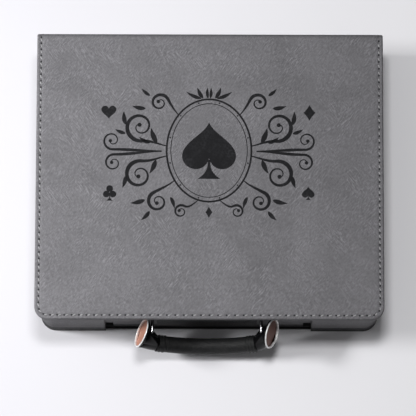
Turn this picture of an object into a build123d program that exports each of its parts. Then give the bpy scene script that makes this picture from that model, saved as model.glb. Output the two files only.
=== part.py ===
from build123d import *
import math
import os

os.makedirs("parts", exist_ok=True)

# A flat carrying case for a poker set, closed and lying on its base.
# Millimetres. X runs along the handle side, -Y is the front, +Z is up.
# The origin is on the table, below the middle of the lid.

# Lid, a wrapped board that overhangs the walls
lid_width = 242.0
lid_depth = 203.0
case_height = 57.0
lid_thickness = 4.0
lid_front_radius = 8.4
lid_rear_radius = 1.2
lid_edge_round = 0.6
lid_gap = 0.2
lining_margin = 8.0

# Covering, turned round every board
skin = 0.8
base_skin = 0.6

# Walls
front_overhang = 2.0
wall_width = 236.8
wall_thickness = 6.0
wall_front_radius = 11.0
wall_rear_radius = 1.0
cavity_radius = 5.0
spine_thickness = 2.6
base_thickness = 3.0
foot_band_top = 12.0

# Recess across the middle of the front, with a dark slot at each end
recess_width = 144.2
recess_x = -0.8
recess_depth = 2.5
base_notch_depth = 1.3
board_notch_depth = 1.8
slot_width = 5.5
slot_bottom = 4.5
slot_top = 18.5
slot_depth = 3.0

# Closing magnets, buried in the lid and in the front wall
magnet_length = 10.0
magnet_width = 3.2
lid_magnet_thickness = 1.6
wall_magnet_thickness = 2.5
magnet_spacing = 190.0

# Handle
handle_x = -1.75
pivot_in_front_of_lid = 6.42
pivot_height = 38.0
hang_angle = 12.0
grip_reach = 24.7
grip_half_length = 35.0
grip_bow = 6.2
grip_radius = 5.7
core_radius = 4.2
wrap_bore_radius = 4.3
collar_length = 7.0
collar_radius = 6.2
collar_bore_radius = 5.75

# Ends of the handle
disc_half_spacing = 44.7
disc_radius = 10.55
disc_rise_angle = 21.2
disc_turn_angle = 16.6
rim_front = 1.1
rim_back = -0.8
rim_width = 1.3
rim_round = 0.5
insert_front = -0.3
insert_gap = 0.05
neck_back = -2.8
neck_wide_radius = 10.2
neck_narrow_radius = 6.6
arm_root_drop = 6.5
arm_root_inset = -2.4
arm_root_radius = 8.2
arm_tip_radius = 5.5
boss_radius = 3.4
boss_inner = 39.9
boss_outer = 41.3
pivot_bore_radius = 1.4
pivot_bore_start = 37.0
pivot_bore_end = 42.8

# Posts that carry the handle
post_radius = 1.1
post_leg = 37.8
post_bend_radius = 2.4
post_tip = 42.5
post_hole_radius = 1.15
flange_radius = 2.4
flange_thickness = 1.0
nut_radius = 3.0
nut_thickness = 2.2
plate_half_length = 35.0
plate_thickness = 0.8
plate_bottom = 14.0
plate_top = 50.0

# Insert and what it holds
insert_top = 33.5
insert_side_gap = 0.5
insert_front_gap = 3.0
insert_floor_gap = 0.2
chip_diameter = 39.0
chip_thickness = 3.3
chip_pitch = 3.36
chips_in_row = 25
chip_chamfer = 0.35
chip_inlay_radius = 12.5
chip_inlay_depth = 0.12
trough_radius = 19.8
trough_floor = 1.8
trough_length = 89.0
trough_front = -0.5
trough_drop = 0.2
inner_row_x = 35.0
outer_row_x = 78.5
die_size = 16.0
die_pitch = 16.3
die_round = 1.9
dice_count = 5
die_slot_width = 16.7
die_slot_depth = 14.0
deck_length = 91.0
deck_width = 65.0
deck_height = 19.0
deck_carton = 0.5
deck_gap = 0.7
deck_x = 52.0
deck_y = -46.0
deck_sink = 1.0
finger_notch_radius = 13.0
finger_notch_floor = 16.0

# Worked out from the sizes above
lid_front = -lid_depth / 2
lid_rear = lid_depth / 2
lid_under = case_height - lid_thickness
wall_top = lid_under - lid_gap
wall_front = lid_front + front_overhang
wall_rear = lid_rear - spine_thickness
recess_face = wall_front + recess_depth
cavity_front = wall_front + wall_thickness
cavity_rear = wall_rear - wall_thickness
cavity_width = wall_width - 2 * wall_thickness
magnet_y = (wall_front + skin + cavity_front) / 2
pivot_y = lid_front - pivot_in_front_of_lid
bow_radius = (grip_half_length**2 + grip_bow**2) / (2 * grip_bow)
bow_half_angle = math.degrees(math.asin(grip_half_length / bow_radius))
collar_angle = math.degrees(collar_length / bow_radius)
insert_front_y = cavity_front + insert_front_gap
insert_rear_y = cavity_rear - insert_side_gap
trough_axis_z = base_thickness + insert_floor_gap + trough_floor + trough_radius
deck_bottom = insert_top - deck_sink - deck_height
die_bottom = insert_top - die_slot_depth


def panel(width, front, rear, front_radius, rear_radius):
    """Plan of a panel, with one radius at its front corners and one at its rear corners."""
    with BuildSketch() as plan:
        with Locations((0, (front + rear) / 2)):
            Rectangle(width, rear - front)
        fillet(plan.vertices().group_by(Axis.Y)[0], front_radius)
        fillet(plan.vertices().group_by(Axis.Y)[-1], rear_radius)
    return plan.sketch


def lid_plan(inset):
    """Plan of the lid, drawn in by inset."""
    return panel(
        lid_width - 2 * inset,
        lid_front + inset,
        lid_rear - inset,
        max(lid_front_radius - inset, 1.0),
        max(lid_rear_radius - inset, 0.3),
    )


def wall_plan(inset, notch):
    """Outer plan of the walls, drawn in by inset, with the front recess cut notch deep."""
    with BuildSketch() as plan:
        add(
            panel(
                wall_width - 2 * inset,
                wall_front + inset,
                wall_rear,
                wall_front_radius - inset,
                wall_rear_radius,
            )
        )
        with Locations((recess_x, wall_front)):
            Rectangle(recess_width + 2 * inset, 2 * (notch + inset), mode=Mode.SUBTRACT)
    return plan.sketch


def cavity_plan():
    """Plan of the space inside the walls."""
    return panel(cavity_width, cavity_front, cavity_rear, cavity_radius, cavity_radius)


# Lid
with BuildPart() as lid_cover:
    with BuildSketch(Plane.XY.offset(lid_under)):
        add(lid_plan(0))
    extrude(amount=lid_thickness)
    fillet(lid_cover.faces().sort_by(Axis.Z)[-1].edges(), lid_edge_round)
    with BuildSketch(Plane.XY.offset(lid_under + skin)):
        add(lid_plan(skin))
    extrude(amount=lid_thickness - 2 * skin, mode=Mode.SUBTRACT)
    with BuildSketch(Plane.XY.offset(lid_under)):
        add(lid_plan(lining_margin))
    extrude(amount=skin, mode=Mode.SUBTRACT)
lid_cover.part.label = "lid_cover"
export_step(lid_cover.part, "parts/lid_cover.step")

with BuildPart() as lid_board:
    with BuildSketch(Plane.XY.offset(lid_under + skin)):
        add(lid_plan(skin))
    extrude(amount=lid_thickness - 2 * skin)
    with BuildSketch(Plane.XY.offset(lid_under + skin)):
        with Locations((0, magnet_y)):
            with GridLocations(magnet_spacing, 0, 2, 1):
                Rectangle(magnet_length, magnet_width)
    extrude(amount=lid_magnet_thickness, mode=Mode.SUBTRACT)
lid_board.part.label = "lid_board"
export_step(lid_board.part, "parts/lid_board.step")

with BuildPart() as lid_lining:
    with BuildSketch(Plane.XY.offset(lid_under)):
        add(lid_plan(lining_margin))
    extrude(amount=skin)
lid_lining.part.label = "lid_lining"
export_step(lid_lining.part, "parts/lid_lining.step")

with BuildPart() as lid_magnets:
    with BuildSketch(Plane.XY.offset(lid_under + skin)):
        with Locations((0, magnet_y)):
            with GridLocations(magnet_spacing, 0, 2, 1):
                Rectangle(magnet_length, magnet_width)
    extrude(amount=lid_magnet_thickness)
lid_magnets.part.label = "lid_magnets"
export_step(lid_magnets.part, "parts/lid_magnets.step")

# Base, a board with its covering on the underside and round the edges
with BuildPart() as base_cover:
    with BuildSketch():
        add(wall_plan(0, base_notch_depth))
    extrude(amount=base_thickness)
    with BuildSketch(Plane.XY.offset(base_skin)):
        add(wall_plan(skin, board_notch_depth))
    extrude(amount=base_thickness - base_skin, mode=Mode.SUBTRACT)
base_cover.part.label = "base_cover"
export_step(base_cover.part, "parts/base_cover.step")

with BuildPart() as base_board:
    with BuildSketch(Plane.XY.offset(base_skin)):
        add(wall_plan(skin, board_notch_depth))
    extrude(amount=base_thickness - base_skin)
base_board.part.label = "base_board"
export_step(base_board.part, "parts/base_board.step")

# Spine, the panel behind the rear wall that the lid folds on
spine_plan = panel(lid_width, wall_rear, lid_rear, 0.3, lid_rear_radius)
spine_board_plan = panel(lid_width - 2 * skin, wall_rear, lid_rear - skin, 0.3, 0.5)

with BuildPart() as spine_cover:
    with BuildSketch():
        add(spine_plan)
    extrude(amount=wall_top)
    with BuildSketch(Plane.XY.offset(skin)):
        add(spine_board_plan)
    extrude(amount=wall_top - 2 * skin, mode=Mode.SUBTRACT)
spine_cover.part.label = "spine_cover"
export_step(spine_cover.part, "parts/spine_cover.step")

with BuildPart() as spine_board:
    with BuildSketch(Plane.XY.offset(skin)):
        add(spine_board_plan)
    extrude(amount=wall_top - 2 * skin)
spine_board.part.label = "spine_board"
export_step(spine_board.part, "parts/spine_board.step")


# Space of the recess's end slots and of the two post holes, to be cut out of the walls
with BuildPart() as front_openings:
    with BuildSketch(Plane.XY.offset(slot_bottom)):
        with Locations((recess_x, recess_face + slot_depth / 2)):
            with GridLocations(recess_width - slot_width, 0, 2, 1):
                Rectangle(slot_width, slot_depth)
    extrude(amount=slot_top - slot_bottom)
    with BuildSketch(Plane.XZ.offset(-cavity_front)):
        with Locations((handle_x, pivot_height)):
            with GridLocations(2 * post_leg, 0, 2, 1):
                Circle(post_hole_radius)
    extrude(amount=wall_thickness)


# Walls
with BuildPart() as wall_core:
    with BuildSketch(Plane.XY.offset(base_thickness)):
        add(wall_plan(skin, recess_depth))
        add(cavity_plan(), mode=Mode.SUBTRACT)
    extrude(amount=wall_top - skin - base_thickness)
    with BuildSketch(Plane.XY.offset(wall_top - skin)):
        with Locations((0, magnet_y)):
            with GridLocations(magnet_spacing, 0, 2, 1):
                Rectangle(magnet_length, magnet_width)
    extrude(amount=-wall_magnet_thickness, mode=Mode.SUBTRACT)
    add(front_openings.part, mode=Mode.SUBTRACT)
wall_core.part.label = "wall_core"
export_step(wall_core.part, "parts/wall_core.step")

with BuildPart() as wall_cover:
    with BuildSketch(Plane.XY.offset(foot_band_top)):
        add(wall_plan(0, recess_depth))
        add(wall_plan(skin, recess_depth), mode=Mode.SUBTRACT)
    extrude(amount=wall_top - skin - foot_band_top)
    with BuildSketch(Plane.XY.offset(wall_top - skin)):
        add(wall_plan(0, recess_depth))
        add(cavity_plan(), mode=Mode.SUBTRACT)
    extrude(amount=skin)
    add(front_openings.part, mode=Mode.SUBTRACT)
wall_cover.part.label = "wall_cover"
export_step(wall_cover.part, "parts/wall_cover.step")

with BuildPart() as foot_band:
    with BuildSketch(Plane.XY.offset(base_thickness)):
        add(wall_plan(0, recess_depth))
        add(wall_plan(skin, recess_depth), mode=Mode.SUBTRACT)
    extrude(amount=foot_band_top - base_thickness)
    add(front_openings.part, mode=Mode.SUBTRACT)
foot_band.part.label = "foot_band"
export_step(foot_band.part, "parts/foot_band.step")

with BuildPart() as wall_magnets:
    with BuildSketch(Plane.XY.offset(wall_top - skin)):
        with Locations((0, magnet_y)):
            with GridLocations(magnet_spacing, 0, 2, 1):
                Rectangle(magnet_length, magnet_width)
    extrude(amount=-wall_magnet_thickness)
wall_magnets.part.label = "wall_magnets"
export_step(wall_magnets.part, "parts/wall_magnets.step")

# Black plate behind the grip, and the posts at its ends
with BuildPart() as handle_plate:
    with BuildSketch(Plane.XZ.offset(-recess_face)):
        with Locations((handle_x, (plate_bottom + plate_top) / 2)):
            RectangleRounded(2 * plate_half_length, plate_top - plate_bottom, 2.0)
    extrude(amount=plate_thickness)
handle_plate.part.label = "handle_plate"
export_step(handle_plate.part, "parts/handle_plate.step")


def make_post(side):
    """Round bar from the wall out to the pivot axis and along it into the neck; side is -1 or 1."""
    leg_x = handle_x + side * post_leg
    nut_end = cavity_front + nut_thickness
    with BuildPart() as post:
        with BuildLine(Plane.XY.offset(pivot_height)) as route:
            FilletPolyline(
                (leg_x, nut_end),
                (leg_x, pivot_y),
                (handle_x + side * post_tip, pivot_y),
                radius=post_bend_radius,
            )
        with BuildSketch(Plane(origin=route.line @ 0, z_dir=route.line % 0)):
            Circle(post_radius)
        sweep()
        with BuildSketch(Plane.XZ.offset(-recess_face)):
            with Locations((leg_x, pivot_height)):
                Circle(flange_radius)
        extrude(amount=flange_thickness)
    return post.part


for name, side in (("post_left", -1), ("post_right", 1)):
    post_part = make_post(side)
    post_part.label = name
    export_step(post_part, f"parts/{name}.step")

with BuildPart() as post_nuts:
    with BuildSketch(Plane.XZ.offset(-cavity_front)):
        with Locations((handle_x, pivot_height)):
            with GridLocations(2 * post_leg, 0, 2, 1):
                RegularPolygon(nut_radius, 6)
                Circle(post_hole_radius, mode=Mode.SUBTRACT)
    extrude(amount=-nut_thickness)
post_nuts.part.label = "post_nuts"
export_step(post_nuts.part, "parts/post_nuts.step")

# Grip, a bowed bar in the plane that hangs from the pivot axis
hang = math.radians(hang_angle)
handle_plane = Plane(
    origin=(handle_x, pivot_y, pivot_height),
    x_dir=(1, 0, 0),
    z_dir=(0, -math.cos(hang), math.sin(hang)),
)
bow_centre = (0, bow_radius - grip_reach)


def make_bar(outer_radius, bore_radius, spans):
    """Round bar along the grip's bow; spans lists (start angle, arc) pairs in degrees."""
    with BuildPart() as bar:
        for start, arc in spans:
            with BuildLine(handle_plane) as bow:
                CenterArc(bow_centre, bow_radius, start, arc)
            with BuildSketch(Plane(origin=bow.line @ 0, z_dir=bow.line % 0)):
                Circle(outer_radius)
                if bore_radius:
                    Circle(bore_radius, mode=Mode.SUBTRACT)
            sweep()
    return bar.part


whole_bow = [(270 - bow_half_angle, 2 * bow_half_angle)]
bow_ends = [(270 - bow_half_angle, collar_angle), (270 + bow_half_angle - collar_angle, collar_angle)]
for name, outer, bore, spans in (
    ("grip_core", core_radius, 0, whole_bow),
    ("grip_wrap", grip_radius, wrap_bore_radius, whole_bow),
    ("grip_collars", collar_radius, collar_bore_radius, bow_ends),
):
    bar_part = make_bar(outer, bore, spans)
    bar_part.label = name
    export_step(bar_part, f"parts/{name}.step")


def disc_plane(side, shift):
    """Plane of an end disc, whose face looks outwards and up, moved by shift along its normal."""
    rise = math.radians(disc_rise_angle)
    turn = math.radians(disc_turn_angle)
    normal = (
        side * math.cos(rise) * math.cos(turn),
        -side * math.cos(rise) * math.sin(turn),
        math.sin(rise),
    )
    centre = (handle_x + side * disc_half_spacing, pivot_y, pivot_height)
    return Plane(origin=centre, z_dir=normal).offset(shift)


def make_neck(side):
    """Moulded neck: a dish behind the end disc, a boss round the pivot and an arm to the grip."""
    dish_front = disc_plane(side, rim_back)
    normal = dish_front.z_dir
    down = Vector(0, -math.sin(hang), -math.cos(hang))
    along_disc = (down - normal * down.dot(normal)).normalized()
    arm_root = disc_plane(side, arm_root_inset).origin + along_disc * arm_root_drop
    tip_angle = math.radians(bow_half_angle)
    arm_tip = handle_plane.from_local_coords(
        Vector(side * grip_half_length, grip_bow - grip_reach, 0)
    )
    tip_outward = (
        handle_plane.from_local_coords(Vector(side * math.cos(tip_angle), math.sin(tip_angle), 0))
        - handle_plane.origin
    )
    with BuildPart() as neck:
        with BuildSketch(dish_front):
            Circle(neck_wide_radius)
        with BuildSketch(disc_plane(side, neck_back)):
            Circle(neck_narrow_radius)
        loft()
        with BuildSketch(Plane(origin=arm_tip, x_dir=(0, 1, 0), z_dir=tip_outward)):
            Circle(arm_tip_radius)
        with BuildSketch(Plane(origin=arm_root, x_dir=(0, 1, 0), z_dir=normal)):
            Circle(arm_root_radius)
        loft()
        inner_x = handle_x + side * boss_inner
        with BuildSketch(Plane(origin=(inner_x, pivot_y, pivot_height), z_dir=(side, 0, 0))):
            Circle(boss_radius)
        extrude(amount=boss_outer - boss_inner)
        bore_x = handle_x + side * pivot_bore_start
        with BuildSketch(Plane(origin=(bore_x, pivot_y, pivot_height), z_dir=(side, 0, 0))):
            Circle(pivot_bore_radius)
        extrude(amount=pivot_bore_end - pivot_bore_start, mode=Mode.SUBTRACT)
    return neck.part


def make_rim(side):
    """Bright ring round an end disc."""
    with BuildPart() as rim:
        with BuildSketch(disc_plane(side, rim_back)):
            Circle(disc_radius)
            Circle(disc_radius - rim_width, mode=Mode.SUBTRACT)
        extrude(amount=rim_front - rim_back)
        outwards = Axis(disc_plane(side, 0).origin, disc_plane(side, 0).z_dir)
        front_edges = rim.faces().sort_by(outwards)[-1].edges()
        fillet(front_edges.sort_by(SortBy.RADIUS)[-1], rim_round)
    return rim.part


def make_disc(side):
    """Mirror-bright disc set inside the ring."""
    with BuildPart() as disc:
        with BuildSketch(disc_plane(side, rim_back)):
            Circle(disc_radius - rim_width - insert_gap)
        extrude(amount=insert_front - rim_back)
    return disc.part


for word, side in (("left", -1), ("right", 1)):
    for kind, make in (("neck", make_neck), ("end_rim", make_rim), ("end_disc", make_disc)):
        end_part = make(side)
        end_part.label = f"{kind}_{word}"
        export_step(end_part, f"parts/{kind}_{word}.step")

# Insert, a felted foam block with a well for everything it holds
with BuildPart() as insert_tray:
    with BuildSketch(Plane.XY.offset(base_thickness + insert_floor_gap)):
        add(
            panel(
                cavity_width - 2 * insert_side_gap,
                insert_front_y,
                insert_rear_y,
                cavity_radius,
                cavity_radius,
            )
        )
    extrude(amount=insert_top - base_thickness - insert_floor_gap)
    with BuildSketch(Plane.XZ.offset(-trough_front)):
        for row_x in (-outer_row_x, -inner_row_x, inner_row_x, outer_row_x):
            with Locations((row_x, trough_axis_z)):
                Circle(trough_radius)
            with Locations((row_x, (trough_axis_z + insert_top) / 2)):
                Rectangle(2 * trough_radius, insert_top - trough_axis_z)
        with Locations((0, insert_top - die_slot_depth / 2)):
            Rectangle(die_slot_width, die_slot_depth)
    extrude(amount=-trough_length, mode=Mode.SUBTRACT)
    with BuildSketch(Plane.XY.offset(deck_bottom)):
        with Locations((0, deck_y)):
            with GridLocations(2 * deck_x, 0, 2, 1):
                Rectangle(deck_length + 2 * deck_gap, deck_width + 2 * deck_gap)
    extrude(amount=insert_top - deck_bottom, mode=Mode.SUBTRACT)
    with BuildSketch(Plane.XY.offset(finger_notch_floor)):
        with Locations((0, deck_y)):
            Circle(finger_notch_radius)
    extrude(amount=insert_top - finger_notch_floor, mode=Mode.SUBTRACT)
insert_tray.part.label = "insert_tray"
export_step(insert_tray.part, "parts/insert_tray.step")


# A chip, standing on edge, with the shallow inlay of both its faces
with BuildPart() as chip:
    with BuildSketch(Plane.XZ):
        Circle(chip_diameter / 2)
    extrude(amount=-chip_thickness)
    chamfer(chip.edges(), chip_chamfer)
    with BuildSketch(Plane.XZ):
        Circle(chip_inlay_radius)
    extrude(amount=-chip_inlay_depth, mode=Mode.SUBTRACT)
    with BuildSketch(Plane.XZ.offset(-chip_thickness)):
        Circle(chip_inlay_radius)
    extrude(amount=chip_inlay_depth, mode=Mode.SUBTRACT)


def make_chips(row_x):
    """One row of chips in its trough."""
    row_front = trough_front + (trough_length - chips_in_row * chip_pitch) / 2
    axis_z = trough_axis_z - trough_drop
    with BuildPart() as row:
        with Locations([(row_x, row_front + index * chip_pitch, axis_z) for index in range(chips_in_row)]):
            add(chip.part)
    return row.part


for name, row_x in (
    ("chips_white", -outer_row_x),
    ("chips_red", -inner_row_x),
    ("chips_blue", inner_row_x),
    ("chips_black", outer_row_x),
):
    chips_part = make_chips(row_x)
    chips_part.label = name
    export_step(chips_part, f"parts/{name}.step")

with BuildPart() as dice:
    die_middle_y = trough_front + trough_length / 2
    with BuildSketch(Plane.XY.offset(die_bottom)):
        with Locations((0, die_middle_y)):
            with GridLocations(0, die_pitch, 1, dice_count):
                Rectangle(die_size, die_size)
    extrude(amount=die_size)
    fillet(dice.edges(), die_round)
dice.part.label = "dice"
export_step(dice.part, "parts/dice.step")


def make_deck(deck_centre_x, inset):
    """A deck's block: inset 0 is the carton's outside, inset deck_carton is the cards."""
    with BuildPart() as block:
        with BuildSketch(Plane.XY.offset(deck_bottom + inset)):
            with Locations((deck_centre_x, deck_y)):
                Rectangle(deck_length - 2 * inset, deck_width - 2 * inset)
        extrude(amount=deck_height - 2 * inset)
    return block.part


for colour, deck_centre_x in (("red", -deck_x), ("blue", deck_x)):
    cards = make_deck(deck_centre_x, deck_carton)
    carton = make_deck(deck_centre_x, 0) - cards
    for part_name, solid in ((f"deck_cards_{colour}", cards), (f"deck_box_{colour}", carton)):
        solid.label = part_name
        export_step(solid, f"parts/{part_name}.step")
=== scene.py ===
"""A closed carrying case for a poker set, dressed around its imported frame.

X runs along the handle side, -Y is the front and +Z is up. The classes hold their sizes in
millimetres, and a size becomes metres where a mesh or a texture is made. Only the studio's sizes
are in metres.
"""

import logging
import math
from dataclasses import dataclass, field
from enum import Enum
from functools import reduce
from typing import Callable, Sequence

import bmesh
import bpy
import numpy as np
from mathutils import Matrix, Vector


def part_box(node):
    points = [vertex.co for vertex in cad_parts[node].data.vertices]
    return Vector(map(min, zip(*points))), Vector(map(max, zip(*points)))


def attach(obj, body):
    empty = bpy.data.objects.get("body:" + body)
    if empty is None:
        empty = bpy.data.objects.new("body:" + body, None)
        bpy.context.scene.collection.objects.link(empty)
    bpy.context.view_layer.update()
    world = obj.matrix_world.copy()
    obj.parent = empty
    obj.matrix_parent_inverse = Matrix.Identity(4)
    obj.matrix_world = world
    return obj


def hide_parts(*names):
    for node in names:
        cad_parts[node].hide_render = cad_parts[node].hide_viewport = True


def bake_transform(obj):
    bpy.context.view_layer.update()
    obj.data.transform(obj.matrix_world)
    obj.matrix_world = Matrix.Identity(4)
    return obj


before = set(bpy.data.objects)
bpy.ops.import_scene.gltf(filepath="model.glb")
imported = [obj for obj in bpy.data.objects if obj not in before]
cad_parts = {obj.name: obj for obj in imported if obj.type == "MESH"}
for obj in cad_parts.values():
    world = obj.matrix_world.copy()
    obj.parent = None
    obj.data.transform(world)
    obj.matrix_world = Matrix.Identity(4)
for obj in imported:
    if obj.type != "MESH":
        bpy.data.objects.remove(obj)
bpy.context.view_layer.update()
MM = 0.001
# X, Y and Z of a piece that lies on the front wall and looks forward.
FRONT_WALL_AXES = ((1, 0, 0), (0, 0, 1), (0, -1, 0))
# Point attribute that holds painted shade: how far a covering is darkened where shade falls.
PAINTED_SHADE_ATTRIBUTE = "edge"
PIP_ATTRIBUTE = "pip"
Array = np.ndarray
Material = bpy.types.Material
Socket = bpy.types.NodeSocket
Colour = tuple[float, float, float]
Pair = tuple[float, float]
Place = Sequence[float]
HeightAt = Callable[[Array, Array], Array]
log = logging.getLogger("case")


class Body(Enum):
    """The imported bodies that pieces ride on."""

    CASE = "case"
    LID = "lid"
    HANDLE = "handle"


class Slot(Enum):
    """Names of the record's material slots; no piece here takes its finish from them."""

    GREY = "grey_leatherette"
    BLACK = "black_leatherette"
    CHROME = "bright_chrome"
    MIRROR = "bronze_mirror"
    GLOSS = "gloss_black"
    GRIP = "grip_leather"
    CARTON_RED = "carton_red"
    CARTON_BLUE = "carton_blue"
    DICE = "dice_white"


class Side(Enum):
    """The handle's two ends, with the sign of X at each."""

    LEFT = -1
    RIGHT = 1

    @property
    def word(self) -> str:
        """The side's name in piece names."""
        return self.name.lower()


def scaled(colour: Colour, by: float) -> Colour:
    """A colour made lighter or darker by a factor."""
    return tuple(channel * by for channel in colour)


class Graph:
    """A material's node tree with one principled shader, and short calls for its nodes."""

    def __init__(self, name: str) -> None:
        """Starts an empty material.

        Args:
            name: the material's name.
        """
        self.material = bpy.data.materials.new(name)
        self.material.use_nodes = True
        self.tree = self.material.node_tree
        self.tree.nodes.clear()
        self.shader = self.add("BsdfPrincipled")
        output = self.add("OutputMaterial")
        self.tree.links.new(self.shader.outputs[0], output.inputs[0])
        self.place = self.add("TexCoord").outputs["Object"]

    def add(self, kind: str, inputs: dict | None = None, **settings) -> bpy.types.Node:
        """Adds a node.

        Args:
            kind: the shader node's type.
            inputs: values or sockets for its inputs, by name or number.
            settings: its properties.

        Returns:
            The node.
        """
        node = self.tree.nodes.new("ShaderNode" + kind)
        for key, value in settings.items():
            setattr(node, key, value)
        for key, value in (inputs or {}).items():
            self.feed(node.inputs[key], value)
        return node

    def feed(self, target: Socket, value: Socket | float | tuple) -> None:
        """Links a socket into target, or sets target's own value."""
        if isinstance(value, Socket):
            self.tree.links.new(value, target)
        else:
            target.default_value = value

    def set(self, **inputs: Socket | float) -> None:
        """Sets or links the shader's inputs; an underscore stands for a space in their names."""
        for key, value in inputs.items():
            self.feed(self.shader.inputs[key.replace("_", " ")], value)

    def noise(
        self, size: float, detail: float = 3.0, roughness: float = 0.5, place: Socket | None = None
    ) -> Socket:
        """Soft noise from 0 to 1.

        Args:
            size: size of its features in mm.
            detail: number of finer layers.
            roughness: weight of the finer layers.
            place: coordinates, when not the object's own.

        Returns:
            The noise's value.
        """
        inputs = {"Vector": place or self.place, "Scale": 1 / (size * MM)}
        inputs |= {"Detail": detail, "Roughness": roughness}
        return self.add("TexNoise", inputs).outputs["Fac"]

    def streaks(self, length: float, breadth: float, angle: float) -> Socket:
        """Noise drawn out along one direction of the plan.

        Args:
            length: length of a streak in mm.
            breadth: its breadth in mm.
            angle: its direction in degrees from +X.

        Returns:
            The noise's value.
        """
        size = (length * MM, breadth * MM, breadth * MM)
        inputs = {"Vector": self.place, "Rotation": (0, 0, math.radians(angle)), "Scale": size}
        turned = self.add("Mapping", inputs, vector_type="TEXTURE").outputs[0]
        return self.add("TexNoise", {"Vector": turned, "Scale": 1.0, "Detail": 2.0}).outputs["Fac"]

    def warped(self, size: float, amount: float) -> Socket:
        """Coordinates pushed about by noise.

        Args:
            size: size of the pushes in mm.
            amount: their reach in mm.

        Returns:
            The new coordinates.
        """
        push = self.noise(size, 2.0).node.outputs["Color"]
        centred = self.add("VectorMath", {0: push, 1: (0.5, 0.5, 0.5)}, operation="SUBTRACT").outputs[0]
        reach = self.add("VectorMath", {0: centred, "Scale": 2 * amount * MM}, operation="SCALE").outputs[0]
        return self.add("VectorMath", {0: self.place, 1: reach}).outputs[0]

    def pebbles(self, size: float) -> Socket:
        """Rounded cells with uneven edges.

        Args:
            size: size of a cell in mm.

        Returns:
            The distance from a cell's middle.
        """
        inputs = {"Vector": self.warped(6.0, 0.6), "Scale": 1 / (size * MM)}
        return self.add("TexVoronoi", inputs, feature="SMOOTH_F1").outputs["Distance"]

    def painted(self, name: str) -> Socket:
        """The value that a mesh carries at its points under a name."""
        return self.add("Attribute", attribute_name=name).outputs["Fac"]

    def math(self, operation: str, first: Socket | float, second: Socket | float = 0.0) -> Socket:
        """The Math node's operation on one or two values."""
        return self.add("Math", {0: first, 1: second}, operation=operation).outputs[0]

    def product(self, first: Socket | float, second: Socket | float) -> Socket:
        """One value times another."""
        return self.math("MULTIPLY", first, second)

    def ramp(self, value: Socket, low: float, high: float, to_low: float = 0, to_high: float = 1) -> Socket:
        """Maps a range onto another, held at its ends.

        Args:
            value: the value to map.
            low: where the range starts.
            high: where it ends.
            to_low: the result at low.
            to_high: the result at high.

        Returns:
            The mapped value.
        """
        inputs = {"Value": value, "From Min": low, "From Max": high, "To Min": to_low, "To Max": to_high}
        return self.add("MapRange", inputs).outputs[0]

    def mix(self, factor: Socket | float, first: Socket | Colour, second: Socket | Colour) -> Socket:
        """Mixes two colours.

        Args:
            factor: how much of the second.
            first: the first colour.
            second: the second colour.

        Returns:
            The mixed colour.
        """
        colours = [(*value, 1.0) if isinstance(value, tuple) else value for value in (first, second)]
        return self.add("Mix", {0: factor, 6: colours[0], 7: colours[1]}, data_type="RGBA").outputs[2]

    def shaded(self, factor: Socket, colour: Colour, low: float, high: float = 1.0) -> Socket:
        """A colour that goes from low times itself to high times itself with the factor."""
        return self.mix(factor, scaled(colour, low), scaled(colour, high))

    def relief(self, *layers: tuple[Socket, float]) -> None:
        """Stacks bump layers onto the shader's normal.

        Args:
            layers: pairs of a height from 0 to 1 and its depth in mm.
        """
        below = {}
        for height, depth in layers:
            inputs = {"Height": height, "Distance": depth * MM, "Strength": 1.0, **below}
            below = {"Normal": self.add("Bump", inputs).outputs[0]}
        self.set(**below)


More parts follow.
